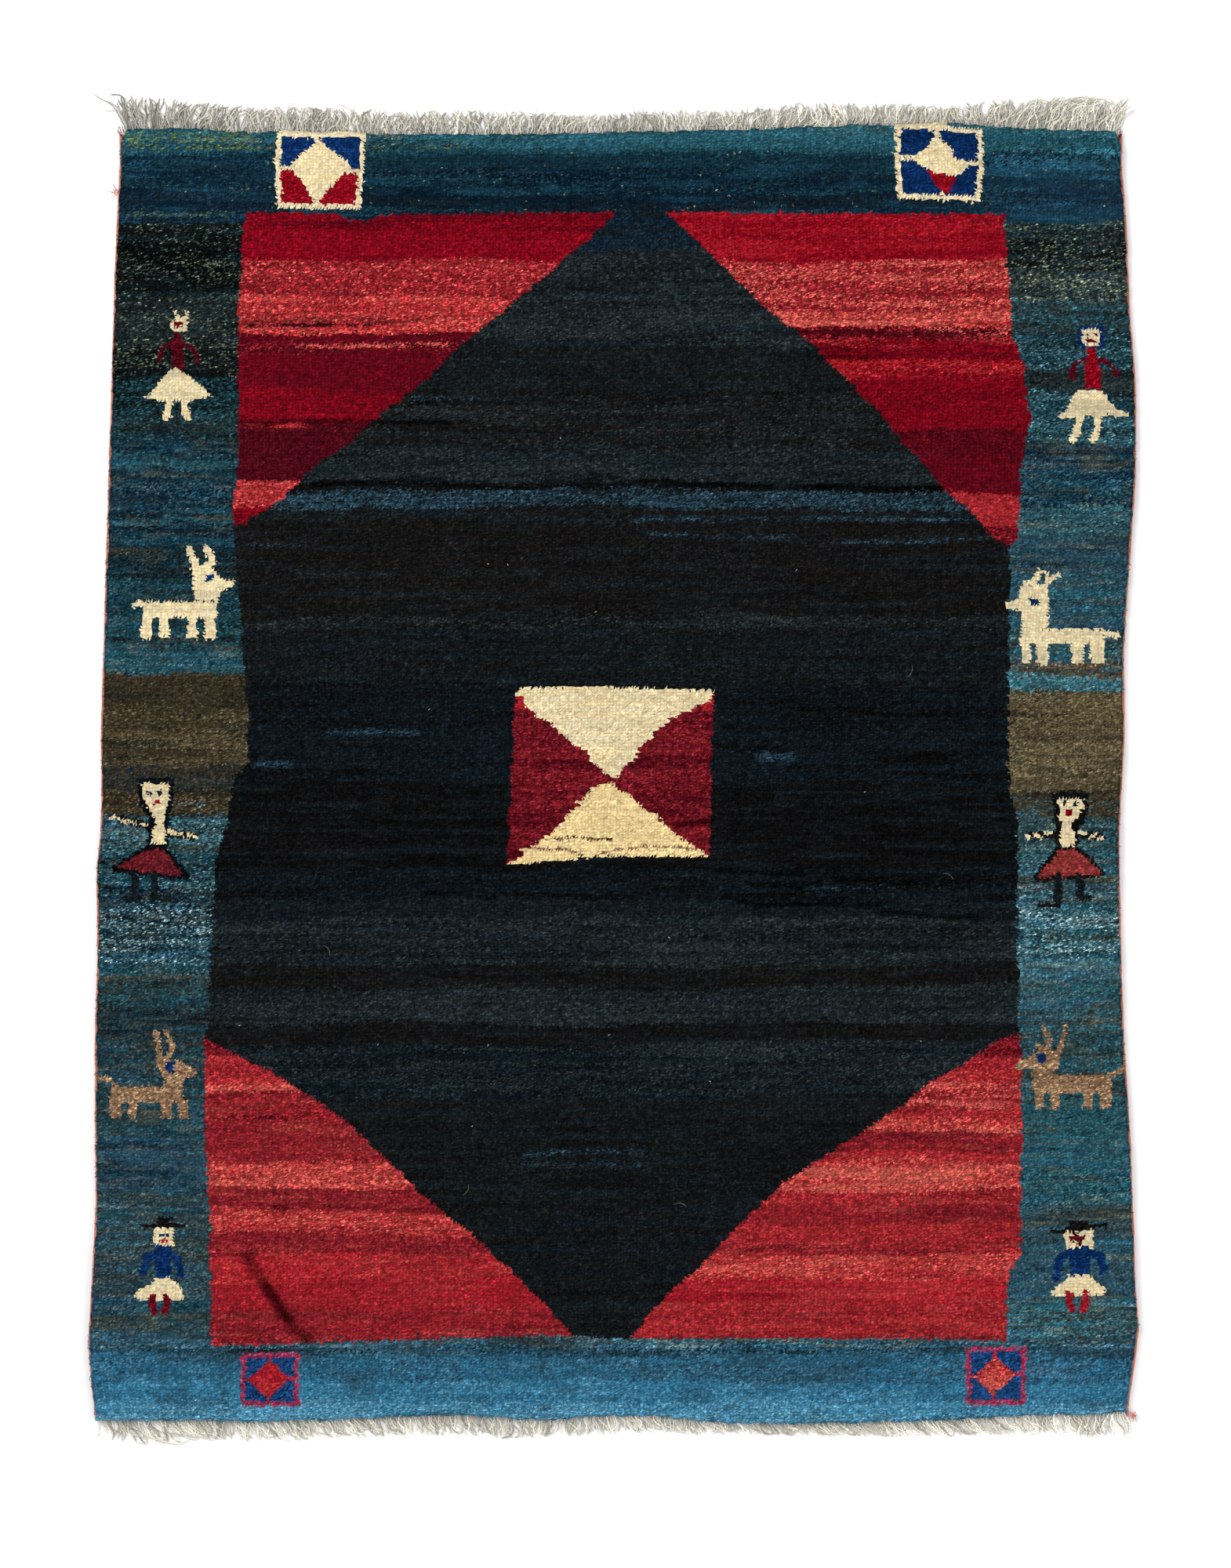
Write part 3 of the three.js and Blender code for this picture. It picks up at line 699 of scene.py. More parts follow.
# Thin lines where one lot of yarn ran into another: wool, from x, to x, y, width, share
def drawStreaks(black, red):
    onRed = [
        ("salmon", -103, -49, 135, 1.2, 0.4), ("coral", -119, -95, 109.3, 1.6, 0.6),
        ("wine", -119, -60, 141, 1.6, 0.5), ("salmon", 98, 128, 138.5, 1.6, 0.6),
        ("coral", 98, 128, 126, 2.6, 0.45), ("coral", 66, 98, 134, 1.4, 0.4),
        ("salmon", -128, -110, -142.3, 1.6, 0.6), ("wine", -111, -100, -140.3, 2, 0.5),
        ("salmon", 88, 128, -107, 1.8, 0.5), ("salmon", 60, 118, -129, 2.2, 0.5),
        ("wine", -128, -96, -112, 1.6, 0.3),
    ]
    onBlack = [
        ("slateBlue", 4, 122, 78.6, 1.5, 0.4), ("slateBlue", 8, 60, 74.5, 1.3, 0.35),
        ("slateBlue", 70, 124, 72.6, 1.2, 0.4), ("slateBlue", -118, -96, 70.6, 1.3, 0.4),
        ("slateBlue", -74, -40, 117, 1.6, 0.25), ("smoke", -60, -10, 113, 1.6, 0.3),
        ("slateBlue", -92, -61, 11.5, 1.8, 0.32), ("slateBlue", -115, -101, 0.6, 2, 0.3),
        ("slateBlue", 45, 60, 3, 2.4, 0.4), ("slateBlue", -30, 13, -122.5, 1.6, 0.3),
        ("slateBlue", -30, 13, -126.5, 1.4, 0.25), ("slateBlue", -60, -10, -90, 2, 0.28),
        ("smoke", 10, 80, -92, 2, 0.3), ("smoke", -100, -20, 62, 1.5, 0.25),
        ("smoke", 40, 100, 47, 1.4, 0.3), ("slateBlue", 60, 110, -38, 1.4, 0.22),
        ("smoke", -90, -30, -53, 1.4, 0.4), ("smoke", 20, 110, -62, 1.4, 0.35),
        ("black", -120, 120, 89.6, 1.4, 0.7),
    ]
    onBorder = [
        ("gold", -118, -110, 199.5, 2.2, 0.5), ("leaf", -156, -112, 202, 2.4, 0.35),
        ("gold", -84, -62, 200.5, 2, 0.5), ("gold", -121, -115, 183.4, 1.3, 0.5),
        ("moss", 66, 90, 202, 1.4, 0.3), ("ivory", -122, -112, 184, 1.2, 0.35),
        ("leaf", -156, -118, 175.6, 2, 0.25), ("ivory", -150, -120, 171, 1, 0.2),
        ("ivory", -145, -119, 161, 1.4, 0.25), ("sky", -155, -128, -11, 1.5, 0.25),
        ("camel", 129, 158, 33.5, 2, 0.5), ("camel", -158, -130, -9.5, 2.2, 0.4),
        ("fir", -162, -118, 41, 1.6, 0.6), ("teal", -118, 124, 200, 5, 0.25),
        ("black", 129, 158, -141, 3, 0.25), ("fir", -128, 128, -185.3, 2.4, 0.3),
    ]
    border = ~(black | red)
    for area, streaks in ((red, onRed), (black, onBlack), (border, onBorder)):
        for k, (wool, fromX, toX, y, width, share) in enumerate(streaks):
            near = area & (np.abs(tuftY - y) < width + 2) & (tuftX > fromX) & (tuftX < toX)
            x = tuftX[near]
            off = np.abs(tuftY[near] - y - 1.2 * drift(x, x * 0, 26, 9, 300 + k)) / width
            fade = np.clip((x - fromX) / 4, 0, 1) * np.clip((toX - x) / 4, 0, 1)
            broken = np.clip(0.8 + 0.7 * drift(x, tuftY[near], 5, 1, 340 + k), 0, 1.3)
            strength = np.clip(share * fade * broken * np.exp(-4 * off * off) * 1.4, 0, 0.9)
            fleck[near] += (wools[wool] - fleck[near]) * np.clip(strength * 2.5, 0, 1)[:, None]
            fleckShare[near] = np.maximum(fleckShare[near] * (1 - strength), strength)


def drawStains():  # small faint marks: x, y, half width, half height, wool, strength
    for x, y, wide, high, wool, strength in (
        (-43.5, -172, 1.9, 1.1, "slateBlue", 0.6), (-105.5, -140, 2.6, 1.6, "wine", 0.5),
        (-20, 150, 3, 1.2, "smoke", 0.3),
    ):
        near = np.exp(-(((tuftX - x) / wide) ** 2 + ((tuftY - y) / high) ** 2))[..., None] * strength
        main[:] = main + (wools[wool] - main) * near


def drawCentre():
    outer = [
        (-31, 25.5), (-6, 25.8), (32.3, 24.5), (31.4, 0), (30.6, -28.3), (0, -28), (-33.8, -31),
        (-32.8, -12), (-31.6, 15),
    ]
    topCream = [
        (-31.2, 27), (33, 27), (32, 23.6), (29, 20.6), (24, 18.4), (19.5, 16.25), (15.6, 13.6),
        (12.5, 10.75), (10.6, 8.6), (9, 6.75), (6.5, 3.75), (4.5, 0.75), (1.5, -2.25), (-0.8, -3.6),
        (-3, -1.4), (-6.4, 1.6), (-9, 4.4), (-12.6, 7.6), (-16, 11), (-20, 14.2), (-24, 16.4),
        (-27, 19.6), (-31.4, 24),
    ]
    footCream = [
        (-1.3, -4.6), (2.2, -7), (6, -9.4), (10, -12.6), (14, -15.8), (17.8, -18.8), (21.6, -22.6),
        (26.6, -26), (31, -28), (0, -31), (-33.8, -31), (-28, -25.8), (-22, -22.4), (-19, -19.8),
        (-16, -17.2), (-13, -13.4), (-9.6, -9.8), (-6, -6.8),
    ]
    square = within(outer)
    paint(square, "garnet", "brick", 0.35, 0.26)
    veil(square, "brick", 0.6, 12, 1.2, 297)
    for x, y in ((-28.4, 22.4), (30.4, 21.6)):
        paint(square & (np.abs(atX - x) < 2) & (np.abs(atY - y) < 3.4), "cherry", "coral", 0.3, 0.2)
    top = square & within(topCream, False, 1.5)
    foot = square & within(footCream, False, 1.5)
    paint(top, "cream", "creamShade", 0.14, 0.07)
    paint(foot, "butter", "creamShade", 0.14, 0.07)
    for mask, seed in ((top, 303), (foot, 307)):
        veil(mask, "creamShade", 0.35, 14, 0.9, seed)
        veil(mask, "butter", 0.4, 20, 2, seed + 2)
    unbroken = drift(tuftX, tuftY, 2.6, 3, 311) > -0.8
    # painted shade: the cracks in the cream are painted in dark bark wool along their lines
    for points, *_ in cracks:
        paint(foot & alongLine(points, 0.6) & unbroken, "bark", "camel", 0.5, 0.2)


def drawTopStar(outer, inner, level, low, diamond, links, tip=None):
    paint(within(outer, True), "cream", "creamShade", 0.12, 0.08)
    pane = within(inner, True)
    paint(pane & (calmY > level), "navy", "indigo", 0.25, 0.22)
    paint(pane & (calmY <= level), low, "navy" if low == "navy" else "cherry", 0.15, 0.2)
    paint(within(diamond, True), "cream", "butter", 0.3, 0.07)
    for points in links:
        paint(alongLine(points, 1.4), "cream", "creamShade", 0.15, 0.1)
    if tip:
        paint(within(tip, True), "crimson", "cherry", 0.15, 0.15)


def drawStars():
    drawTopStar(
        [(-107, 203.4), (-79.2, 203), (-79.2, 190), (-80.6, 177.6), (-107, 177.9), (-107.6, 190)],
        [(-105.4, 200.6), (-80.6, 200.4), (-80.9, 190), (-82.2, 179), (-105.5, 179.4), (-105.9, 190)],
        190.6, "crimson",
        [(-94, 200), (-96.4, 197.4), (-99.4, 195), (-102.8, 191), (-100, 187.4), (-97.4, 183.4),
         (-94.6, 179), (-91.4, 183), (-87, 187.6), (-83.4, 190.8), (-86.4, 194), (-90.4, 197)],
        [[(-94, 202), (-94, 198)], [(-106.2, 190.8), (-101, 190.8)], [(-86, 190), (-80.4, 189.6)],
         [(-94.6, 182), (-94.4, 178.6)]],
    )
    drawTopStar(
        [(89.9, 205), (104, 204.2), (117.4, 202.8), (117.6, 190), (116.6, 180), (90.6, 181), (89.8, 192)],
        [(91.5, 203.4), (104, 202.6), (115.7, 201.4), (115.9, 190), (115, 181.7), (92.2, 182.5),
         (91.4, 192)],
        192.8, "navy",
        [(103, 201.4), (100.4, 197.6), (97.4, 195.6), (94.2, 193.8), (98.4, 191), (102, 189.4), (108.6, 188),
         (112.4, 190.2), (113.6, 192.2), (109.4, 193.6), (106.6, 197.6)],
        [[(103, 203.4), (103, 199)], [(91, 193.8), (96, 193.8)], [(112, 192), (117, 192.6)],
         [(104.8, 183.4), (104.6, 181.2)]],
        [(99.7, 190.2), (104.4, 188.8), (109.4, 187.8), (107.4, 184.4), (105.4, 182.2), (102.4, 185.8)],
    )
    footStars = [(-109, -194.6, 18.4, 16.8, "coral"), (121.6, -193.4, 19, 18.2, "salmon")]
    for x, y, width, height, low in footStars:
        frameOutside = [
            (x - width / 2, y + height / 2), (x + width / 2, y + height / 2 + 0.4),
            (x + width / 2, y - height / 2), (x - width / 2, y - height / 2),
        ]
        paint(within(frameOutside, True), "dustyRose", "steelBlue", 0.12, 0.2)
        pane = [(a - 1.5 * (1 if a > x else -1), b - 1.5 * (1 if b > y else -1)) for a, b in frameOutside]
        paint(within(pane, True), "paleBlue", "navy", 0.3, 0.2)
        top, left, right, foot = (x, y + 6.3), (x - 7, y), (x + 6.4, y + 0.5), (x - 0.6, y - 6)
        for ends in ([(x, y + height / 2 - 0.8), top], [foot, (x - 0.4, y - height / 2 + 0.8)],
                     [left, (x - width / 2 + 0.8, y)], [right, (x + width / 2 - 0.8, y + 0.5)]):
            paint(alongLine(ends, 1.2), "dustyRose", "coral", 0.2, 0.2)
        paint(within([top, left, foot, right], True), "cherry", low, 0.35, 0.2)
        core = [(x - 3.6, y + 1), (x + 1, y - 0.4), (x + 5.4, y - 0.4), foot, (x - 5.4, y - 1)]
        paint(within(core, True), low, "cherry", 0.3, 0.2)


# Each figure is a list of marks, in knots from its own foot: wool, then a polygon, or a line and its width
figures = {
    "dancerLeft": [
        ("cream", [
            (-1.8, 34.6), (-0.6, 34.8), (0.4, 33), (2, 32.4), (3, 34.6), (4, 34.4), (3, 31.6),
            (-0.8, 31.4), (-0.6, 33)]),
        ("cream", [(-2.2, 31.6), (3.4, 31.6), (3.2, 28), (-1.6, 28)]),
        ("ruby", [(-1.2, 31), (2, 30.9), (1.8, 29.2), (-1, 29.2)]),
        ("garnet", [(-0.9, 28), (0.9, 28), (1, 25), (-1, 25)]),
        ("garnet", [(-1.2, 26), (1.2, 26), (2, 22), (2, 15.4), (-1.8, 15.4), (-1.8, 22)]),
        ("garnet", [(-1.4, 24.4), (-4.4, 23.2), (-6, 20.8), (-5.8, 18.8)], 1.4),
        ("garnet", [(1.4, 24.4), (4.2, 23.2), (6, 20.8), (6, 18)], 1.4),
        ("cream", [
            (-2.4, 15.9), (0.8, 15.9), (3.6, 13.6), (6, 11.6), (8.6, 10), (10.9, 7.4), (6, 6.6), (4, 6.2),
            (-6, 6.2), (-10.5, 7), (-7.6, 9.2), (-5.8, 12), (-4.2, 14)]),
        ("cream", [(-3, 6.6), (-2.9, 2), (-3.9, 0.8)], 2.2),
        ("cream", [(2, 6.6), (2.4, 3), (3.2, 0.9)], 2.3),
    ],
    "dancerRight": [
        ("navy", [
            (-4.2, 36.4), (-3, 37.7), (3.2, 37.7), (4.4, 36.6), (4.4, 31.6), (3.4, 30.4), (-3.2, 30.4),
            (-4.2, 31.8)]),
        ("cream", [
            (-2.9, 36.2), (-1.2, 36.6), (2, 36.6), (3, 35.6), (3, 32.2), (2, 31.2), (-1.8, 31.2),
            (-3, 32.4)]),
        ("wine", box(-2.2, 35, -0.8, 33.8)),
        ("wine", box(1.2, 35, 2.6, 33.8)),
        ("ruby", box(-1.6, 33, 1.4, 31.9)),
        ("crimson", [
            (-1.3, 30.6), (1.3, 30.6), (1.6, 27.5), (2.9, 24), (3, 17.4), (-2, 17.4), (-1.8, 24),
            (-1.4, 27.5)]),
        ("garnet", [(-2, 27), (-4.6, 25.4), (-5.6, 22)], 1.3),
        ("garnet", [(2.2, 27), (5.4, 25.4), (7.6, 23)], 1.3),
        ("garnet", [(-7.2, 23.4), (-4.8, 23.8), (-4.8, 20.6), (-7.2, 20)]),
        ("garnet", [(6.4, 24), (9.2, 23.6), (9.4, 21.4), (6.6, 21.4)]),
        ("cream", [
            (-4, 17), (3.4, 17), (6, 13), (8.6, 10.8), (11.8, 9.4), (11.4, 8.2), (4, 9), (-4, 8.4),
            (-10.8, 8), (-10.4, 9.4), (-7.6, 11), (-6, 14)]),
        ("cream", [(-3.6, 9), (-4.4, 4), (-6, 1)], 2.3),
        ("cream", [(2.4, 9), (2, 4), (0.6, 1)], 2.3),
    ],
    "goatLeft": [
        ("cream", box(-11.6, 11.8, 12.1, 6.6)),
        ("cream", [(-11.4, 8), (-8.4, 8), (-8.8, 0), (-12.2, 0)]),
        ("cream", [(-6.4, 8), (-3.3, 8), (-3.3, 0.4), (-6.3, 0.4)]),
        ("cream", box(2.8, 8, 5.9, 0)),
        ("cream", [(8, 8), (11.4, 8), (11.6, 0), (8, 0)]),
        ("cream", [(-11, 11.2), (-12.8, 11.4), (-14.4, 10.6)], 1.6),
        ("cream", [(4.7, 12), (12.4, 12), (12.6, 16), (4.4, 16)]),
        ("cream", [
            (4, 23), (10.6, 23), (12.4, 20.4), (14.2, 18.9), (17.2, 18.5), (17, 16.2), (13.4, 15.4),
            (4.6, 15.6)]),
        ("cream", [(5.6, 22.6), (4.6, 25), (3.2, 28.8)], 2.1),
        ("cream", [(8, 22.6), (10.4, 24.6), (8.4, 29)], 2.1),
        ("navy", box(8.4, 20.4, 10.9, 18.2)),
    ],
    "goatRight": [
        ("cream", [(-12, 11.4), (14.4, 11), (14.4, 6.4), (-12, 6.4)]),
        ("cream", [(-11.8, 7), (-8.8, 7), (-9, 0), (-12, 0)]),
        ("cream", [(-6.8, 7), (-3.2, 7), (-3.4, 0), (-6.9, 0)]),
        ("cream", [(4, 7), (8, 7), (7.6, 0), (4, 0)]),
        ("cream", [(9.8, 7), (14.4, 7), (14.4, 0), (10, 0)]),
        ("cream", [(14, 10), (16.6, 9.4), (18.4, 9.2)], 1.9),
        ("cream", [(-12, 11.6), (-3.4, 11.6), (-3.6, 17), (-12, 17)]),
        ("cream", [
            (-12.2, 24.6), (-3.4, 25), (-3.2, 17), (-12, 17), (-16.6, 17.6), (-17, 19.6), (-12.6, 20.4)]),
        ("cream", [(-7.4, 24.2), (-9, 26), (-7.4, 27), (-6.4, 29.2)], 1.9),
        ("cream", [(-10.4, 24.4), (-11, 26)], 1.5),
        ("cream", [(-4.2, 24.2), (-3.2, 26.6), (-0.4, 28.2)], 1.9),
        ("cream", [(-3.4, 26.6), (-4.2, 28.8)], 1.4),
        ("navy", box(-9.2, 20.8, -6.2, 19)),
    ],
    "ladyLeft": [
        ("black", [
            (-6.5, 39.4), (5.5, 39.6), (5.5, 33.6), (4, 28.4), (4, 17.8), (-3.4, 17.8), (-3, 24),
            (-2.6, 27), (-5.4, 31)]),
        ("soot", [(-12, 26.4), (-3, 24.4)], 2.4),
        ("soot", [(3, 22.2), (12, 20.8)], 2.2),
        ("cream", [
            (-5, 38), (-3.4, 38.4), (-0.4, 37.2), (1.6, 38), (4.4, 37.4), (4.2, 34.6), (3.4, 31),
            (2.4, 29), (2.2, 25.4), (-0.2, 25.4), (-1.4, 28), (-3.4, 30.4), (-4, 34)]),
        ("cream", [
            (-1.2, 28.4), (2.2, 28.4), (1.6, 25), (3, 22), (2.8, 18.6), (-2, 18.6), (-1.8, 22.4),
            (-0.4, 24.6)]),
        ("cream", [(-15.4, 26.4), (-13.6, 27)], 1.0),
        ("cream", [(-12.4, 26.4), (-9.8, 25.4)], 1.0),
        ("cream", [(-8.6, 25.8), (-6.8, 24.8)], 0.9),
        ("cream", [(-5.6, 25), (-3.4, 24.4)], 1.0),
        ("cream", [(3.8, 22.6), (6.2, 21.6)], 1.0),
        ("cream", [(7.2, 22.2), (8.6, 21.2)], 0.9),
        ("cream", [(10, 21.6), (12.4, 20.6)], 1.0),
        ("inkTeal", [(-3, 35.3), (-1.6, 35.4), (-1.6, 33.6), (-3, 33.6)]),
        ("inkTeal", box(0.2, 35.6, 1.7, 34)),
        ("crimson", [(-1.2, 32), (0.6, 32.4), (0.6, 31), (-1, 30.8)]),
        ("black", [(-3.4, 17.8), (2.8, 18), (11, 8.4), (10, 7), (-14, 9.6), (-14.6, 11.2)]),
        ("plum", [(-2.2, 16.8), (2, 16.8), (8.4, 9), (7.6, 8.2), (-12.4, 10.8), (-12.4, 11.6)]),
        ("nightTeal", [(-7.2, 9), (-7, 1.6)], 2.4),
        ("nightTeal", [(-0.8, 9), (-0.8, 1.6)], 2.4),
        ("nightTeal", [(-9.6, 1), (-5.8, 1)], 1.7),
        ("nightTeal", [(-1.6, 1), (4.2, 1)], 1.7),
    ],
    "ladyRight": [
        ("soot", [
            (-5.2, 36.6), (-4, 37.5), (5, 37.5), (6, 36.2), (5.8, 30), (4.6, 27), (3.2, 26), (3.4, 20),
            (-4.4, 20), (-4.2, 26), (-5, 28.2)]),
        ("soot", [(-12.6, 23.4), (-4, 23.6)], 2.2),
        ("soot", [(3, 23.8), (10.4, 23)], 2.2),
        ("cream", [
            (-3.8, 35.4), (4.6, 35.2), (4.4, 32), (3.2, 30.6), (2.6, 28.8), (1.2, 27.6), (1, 25.4),
            (2, 24), (2, 22), (1.4, 19.8), (-2.4, 19.8), (-3, 22), (-2.8, 24.4), (-2.2, 26), (-2.4, 28),
            (-3.6, 29), (-3.2, 31.6)]),
        ("cream", [(-13.4, 23.2), (-12.4, 22.8)], 1.1),
        ("cream", [(-11, 23.8), (-9.2, 23)], 1.1),
        ("cream", [(-7.6, 24), (-5, 24)], 1.0),
        ("cream", [(3.4, 24.6), (5.6, 24)], 1.2),
        ("cream", [(6.8, 22.8), (8.6, 24)], 1.0),
        ("cream", [(9.8, 22.6), (10.8, 22.4)], 1.0),
        ("inkTeal", box(-2.1, 34.5, -0.6, 33)),
        ("inkTeal", box(1.3, 34.1, 2.8, 32.6)),
        ("crimson", box(-1, 31.7, 1, 29.8)),
        ("soot", [(-3.8, 19.8), (3.4, 19.8), (11.4, 11.6), (10.6, 10.2), (-10.6, 9), (-11.4, 10.4)]),
        ("rust", [(-2.6, 18.9), (2.4, 18.9), (10, 12), (9.6, 11), (-9.4, 10), (-9.8, 10.6)]),
        ("nightTeal", [(-3.4, 10), (-3.6, 1.6)], 2.6),
        ("nightTeal", [(3.6, 10), (3.6, 4)], 2.8),
        ("umber", [(-9, 1.4), (-4.4, 1.2)], 1.9),
        ("nightTeal", [(3, 4), (6.8, 3.8)], 1.8),
    ],
    "brownGoatLeft": [
        ("camel", box(-12, 10, 11, 5)),
        ("camel", box(-12, 6, -8.8, 0)),
        ("camel", box(-6.6, 6, -3.6, 0)),
        ("camel", box(4.4, 6, 7.6, 0)),
        ("camel", [(9.6, 6), (12.6, 6), (12.4, 0), (9.4, 0)]),
        ("camel", [(-10.4, 10.6), (-12.6, 12.4), (-15.6, 12.8)], 1.5),
        ("camel", [(4.8, 14.6), (11.6, 14.6), (11, 9.6), (5, 9.6)]),
        ("camel", [(1.4, 18.6), (9.6, 18.6), (12.6, 16.4), (15.2, 15.4), (15.2, 13.4), (4.4, 13.4)]),
        ("camel", [(4, 18), (3.2, 22.6), (2.6, 27.4)], 1.7),
        ("camel", [(5.6, 18), (7.4, 22.6), (6, 27.6)], 1.7),
        ("navy", box(5.5, 18, 8.2, 14.7)),
    ],
    "brownGoatRight": [
        ("camel", [(-12.4, 10.6), (12.8, 10.4), (12.8, 5), (-12.4, 5)]),
        ("camel", box(-11.6, 6, -8.6, 0)),
        ("camel", box(-6.6, 6, -3.6, 0)),
        ("camel", box(3.8, 6, 6.8, 0)),
        ("camel", box(9.2, 6, 12.6, 0)),
        ("camel", [(12, 10.6), (14.6, 11.2), (16.6, 12.6), (17.4, 13.2)], 1.6),
        ("camel", box(-12.6, 13, -5.6, 10)),
        ("camel", [(-12.6, 18.2), (-3.6, 18.2), (-4, 12.4), (-17.8, 12.4), (-17.8, 14.4), (-12.6, 16.4)]),
        ("camel", [(-8, 18), (-6.8, 22), (-8.6, 25.4)], 1.6),
        ("camel", [(-4.6, 18), (-2.6, 21.6), (-2, 25.8)], 1.6),
        ("camel", [(-9, 18.2), (-10.4, 19.8)], 1.6),
        ("navy", box(-11, 17.4, -8, 14.6)),
    ],
    "hatLeft": [
        ("soot", [(-1.8, 31.8), (2.8, 31.8), (3, 29.2), (-2, 29.2)]),
        ("soot", [(-6.2, 28.8), (6.8, 28.8)], 1.2),
        ("cream", [(-3.2, 28.2), (3.4, 28.2), (3.2, 22.4), (-2.4, 22.4)]),
        ("navy", [(-1, 26.6), (1.9, 26.6), (1.8, 25.4), (-1, 25.4)]),
        ("crimson", box(-1, 25, 1.4, 23.7)),
        ("navy", [(-2.6, 22.8), (2.4, 22.8), (2.6, 12), (-2.4, 12)]),
        ("navy", [(-2.2, 20.2), (-5, 18.8), (-6.4, 14)], 2.5),
        ("navy", [(2.2, 20.2), (4.8, 18.6), (5.4, 13.6)], 2.4),
        ("cream", [
            (-1.6, 12.4), (2, 12.4), (5.6, 9.4), (7, 6), (5, 5.2), (-7.6, 5.4), (-9.6, 6.6), (-7, 9),
            (-4, 10.6)]),
        ("ruby", [(-3.6, 6), (-3.4, 3), (-3, 1.5)], 2.2),
        ("ruby", [(0.9, 6), (1, 3), (0.6, 1.5)], 2),
    ],
    "hatRight": [
        ("soot", [(-3.4, 29.8), (2.6, 30.2), (2.8, 27.4), (-3.2, 27.4)]),
        ("soot", [(-9, 26.4), (8.6, 28.6)], 1.3),
        ("cream", [(-5.6, 26.4), (4.4, 27), (4.2, 21), (-4, 21)]),
        ("garnet", [(-2.4, 24.2), (1.2, 24.8)], 1.4),
        ("garnet", [(-1.3, 25.4), (0.2, 23)], 1.3),
        ("navy", [(-3.2, 21.6), (3.2, 21.6), (3.4, 12), (-2.8, 12)]),
        ("navy", [(-3, 19.8), (-6.2, 18), (-7.6, 11.6)], 2.4),
        ("navy", [(3, 20), (6.4, 18.8), (7.6, 14)], 2.8),
        ("cream", [
            (-3.6, 12.4), (3.6, 12.6), (8.6, 7.2), (7.4, 6.2), (-8.6, 5.8), (-9.4, 6.8), (-6, 9.6)]),
        ("cherry", [(-3.6, 6.6), (-3.4, 4), (-2.6, 2)], 2.3),
        ("cherry", [(1.8, 6.6), (2, 4), (1.4, 1.8)], 2.3),
    ],
}
figurePlaces = {  # x and y in knots, and how bright its wools are
    "dancerLeft": (-138.5, 110.75, 0.86),
    "dancerRight": (152, 103.2, 0.95),
    "goatLeft": (-138, 41, 0.95),
    "goatRight": (141.8, 33, 0.95),
    "ladyLeft": (-145, -42.75, 0.82),
    "ladyRight": (145, -45, 0.95),
    "brownGoatLeft": (-147.7, -111.5, 1),
    "brownGoatRight": (145.7, -108.3, 0.93),
    "hatLeft": (-143, -174.6, 0.97),
    "hatRight": (148.4, -174, 0.97),
}
figureFlecks = {
    "cream": ("butter", 0.2), "camel": ("sand", 0.25), "navy": ("indigo", 0.3), "black": ("inkTeal", 0.2),
}


def drawFigures():
    for name, (x, y, tone) in figurePlaces.items():
        for wool, points, *width in figures[name]:
            moved = [(x + a, y + b) for a, b in points]
            mask = alongLine(moved, *width) if width else within(moved, True)
            other, share = figureFlecks.get(wool, (wool, 0))
            paint(mask, wool, other, share, 0.07 if wool == "cream" else 0.24)
            main[mask] *= tone
            fleck[mask] *= tone


def partingDepth(x, y, lines):
    deepest = np.zeros(x.shape)
    for k, (points, depth, width) in enumerate(lines):
        xs, ys = np.array(points, float).T
        near = (x > xs.min() - 9) & (x < xs.max() + 9) & (y > ys.min() - 9) & (y < ys.max() + 9)
        px = x[near]
        py = y[near] + 0.7 * drift(x[near], y[near], 6, 30, 500 + k)
        off = np.full(px.shape, 1e9)
        for start, end in zip(points, points[1:]):
            off = np.minimum(off, fromSegment(px, py, start, end))
        broken = np.clip(0.85 + 0.8 * drift(px, py, 7, 30, 520 + k), 0.35, 1)
        deepest[near] = np.maximum(deepest[near], depth * broken * np.exp(-((off / width) ** 2)))
    return deepest


# The low waves of a rug that has been rolled and trodden: height and length in mm, heading in degrees, phase
waves = [(0.45, 410, 74, 0.4), (0.35, 265, 12, 2.1), (0.3, 158, 121, 4.0), (0.25, 93, 52, 1.2)]


def pileTop(x, y):  # metres in and out
    height = np.full(np.shape(x), pile["height"])
    for rise, length, heading, phase in waves:
        travel = (x * math.cos(math.radians(heading)) + y * math.sin(math.radians(heading))) / mm
        height = height + rise * np.sin(2 * math.pi * travel / length + phase)
    height = height + pile["lumps"] * drift(x / knot, y / knot, 9, 7, 71)
    return height * mm


drawBorders()
blackField, redField = drawField()
drawStreaks(blackField, redField)
drawStains()
drawCentre()
drawStars()
drawFigures()
streaky = drift(tuftX, tuftY, 26, 1.5, 81) + 0.6 * drift(tuftX, tuftY, 60, 3.2, 82)
patchy = drift(tuftX, tuftY, 14, 11, 83)
plainWool = np.isclose(main, wools["cream"]).all(-1) | np.isclose(main, wools["butter"]).all(-1)
unevenDye = {"plain": 0.04, "streaks": 0.13, "patches": 0.07}
streakShare = np.where(plainWool, unevenDye["plain"], unevenDye["streaks"])
main *= np.exp(streakShare * streaky + unevenDye["patches"] * patchy)[..., None]
fleckShare = np.clip(fleckShare * (1 + 0.9 * streaky), 0, 1)
print("design drawn on", tuftX.size, "tufts")


# The pile: a cut knot is a small peak on a lattice, parted into lengthwise strips

# Steps down over the edge: share of the lean out, mm below the top
rim = [(0.62, 1.5), (1.0, 4.6), (0.0, 8.0)]
rimLean = {"side": 3.0, "end": 3.2, "uneven": 1.6, "rounding": 0.9, "roundingReach": 4}  # mm


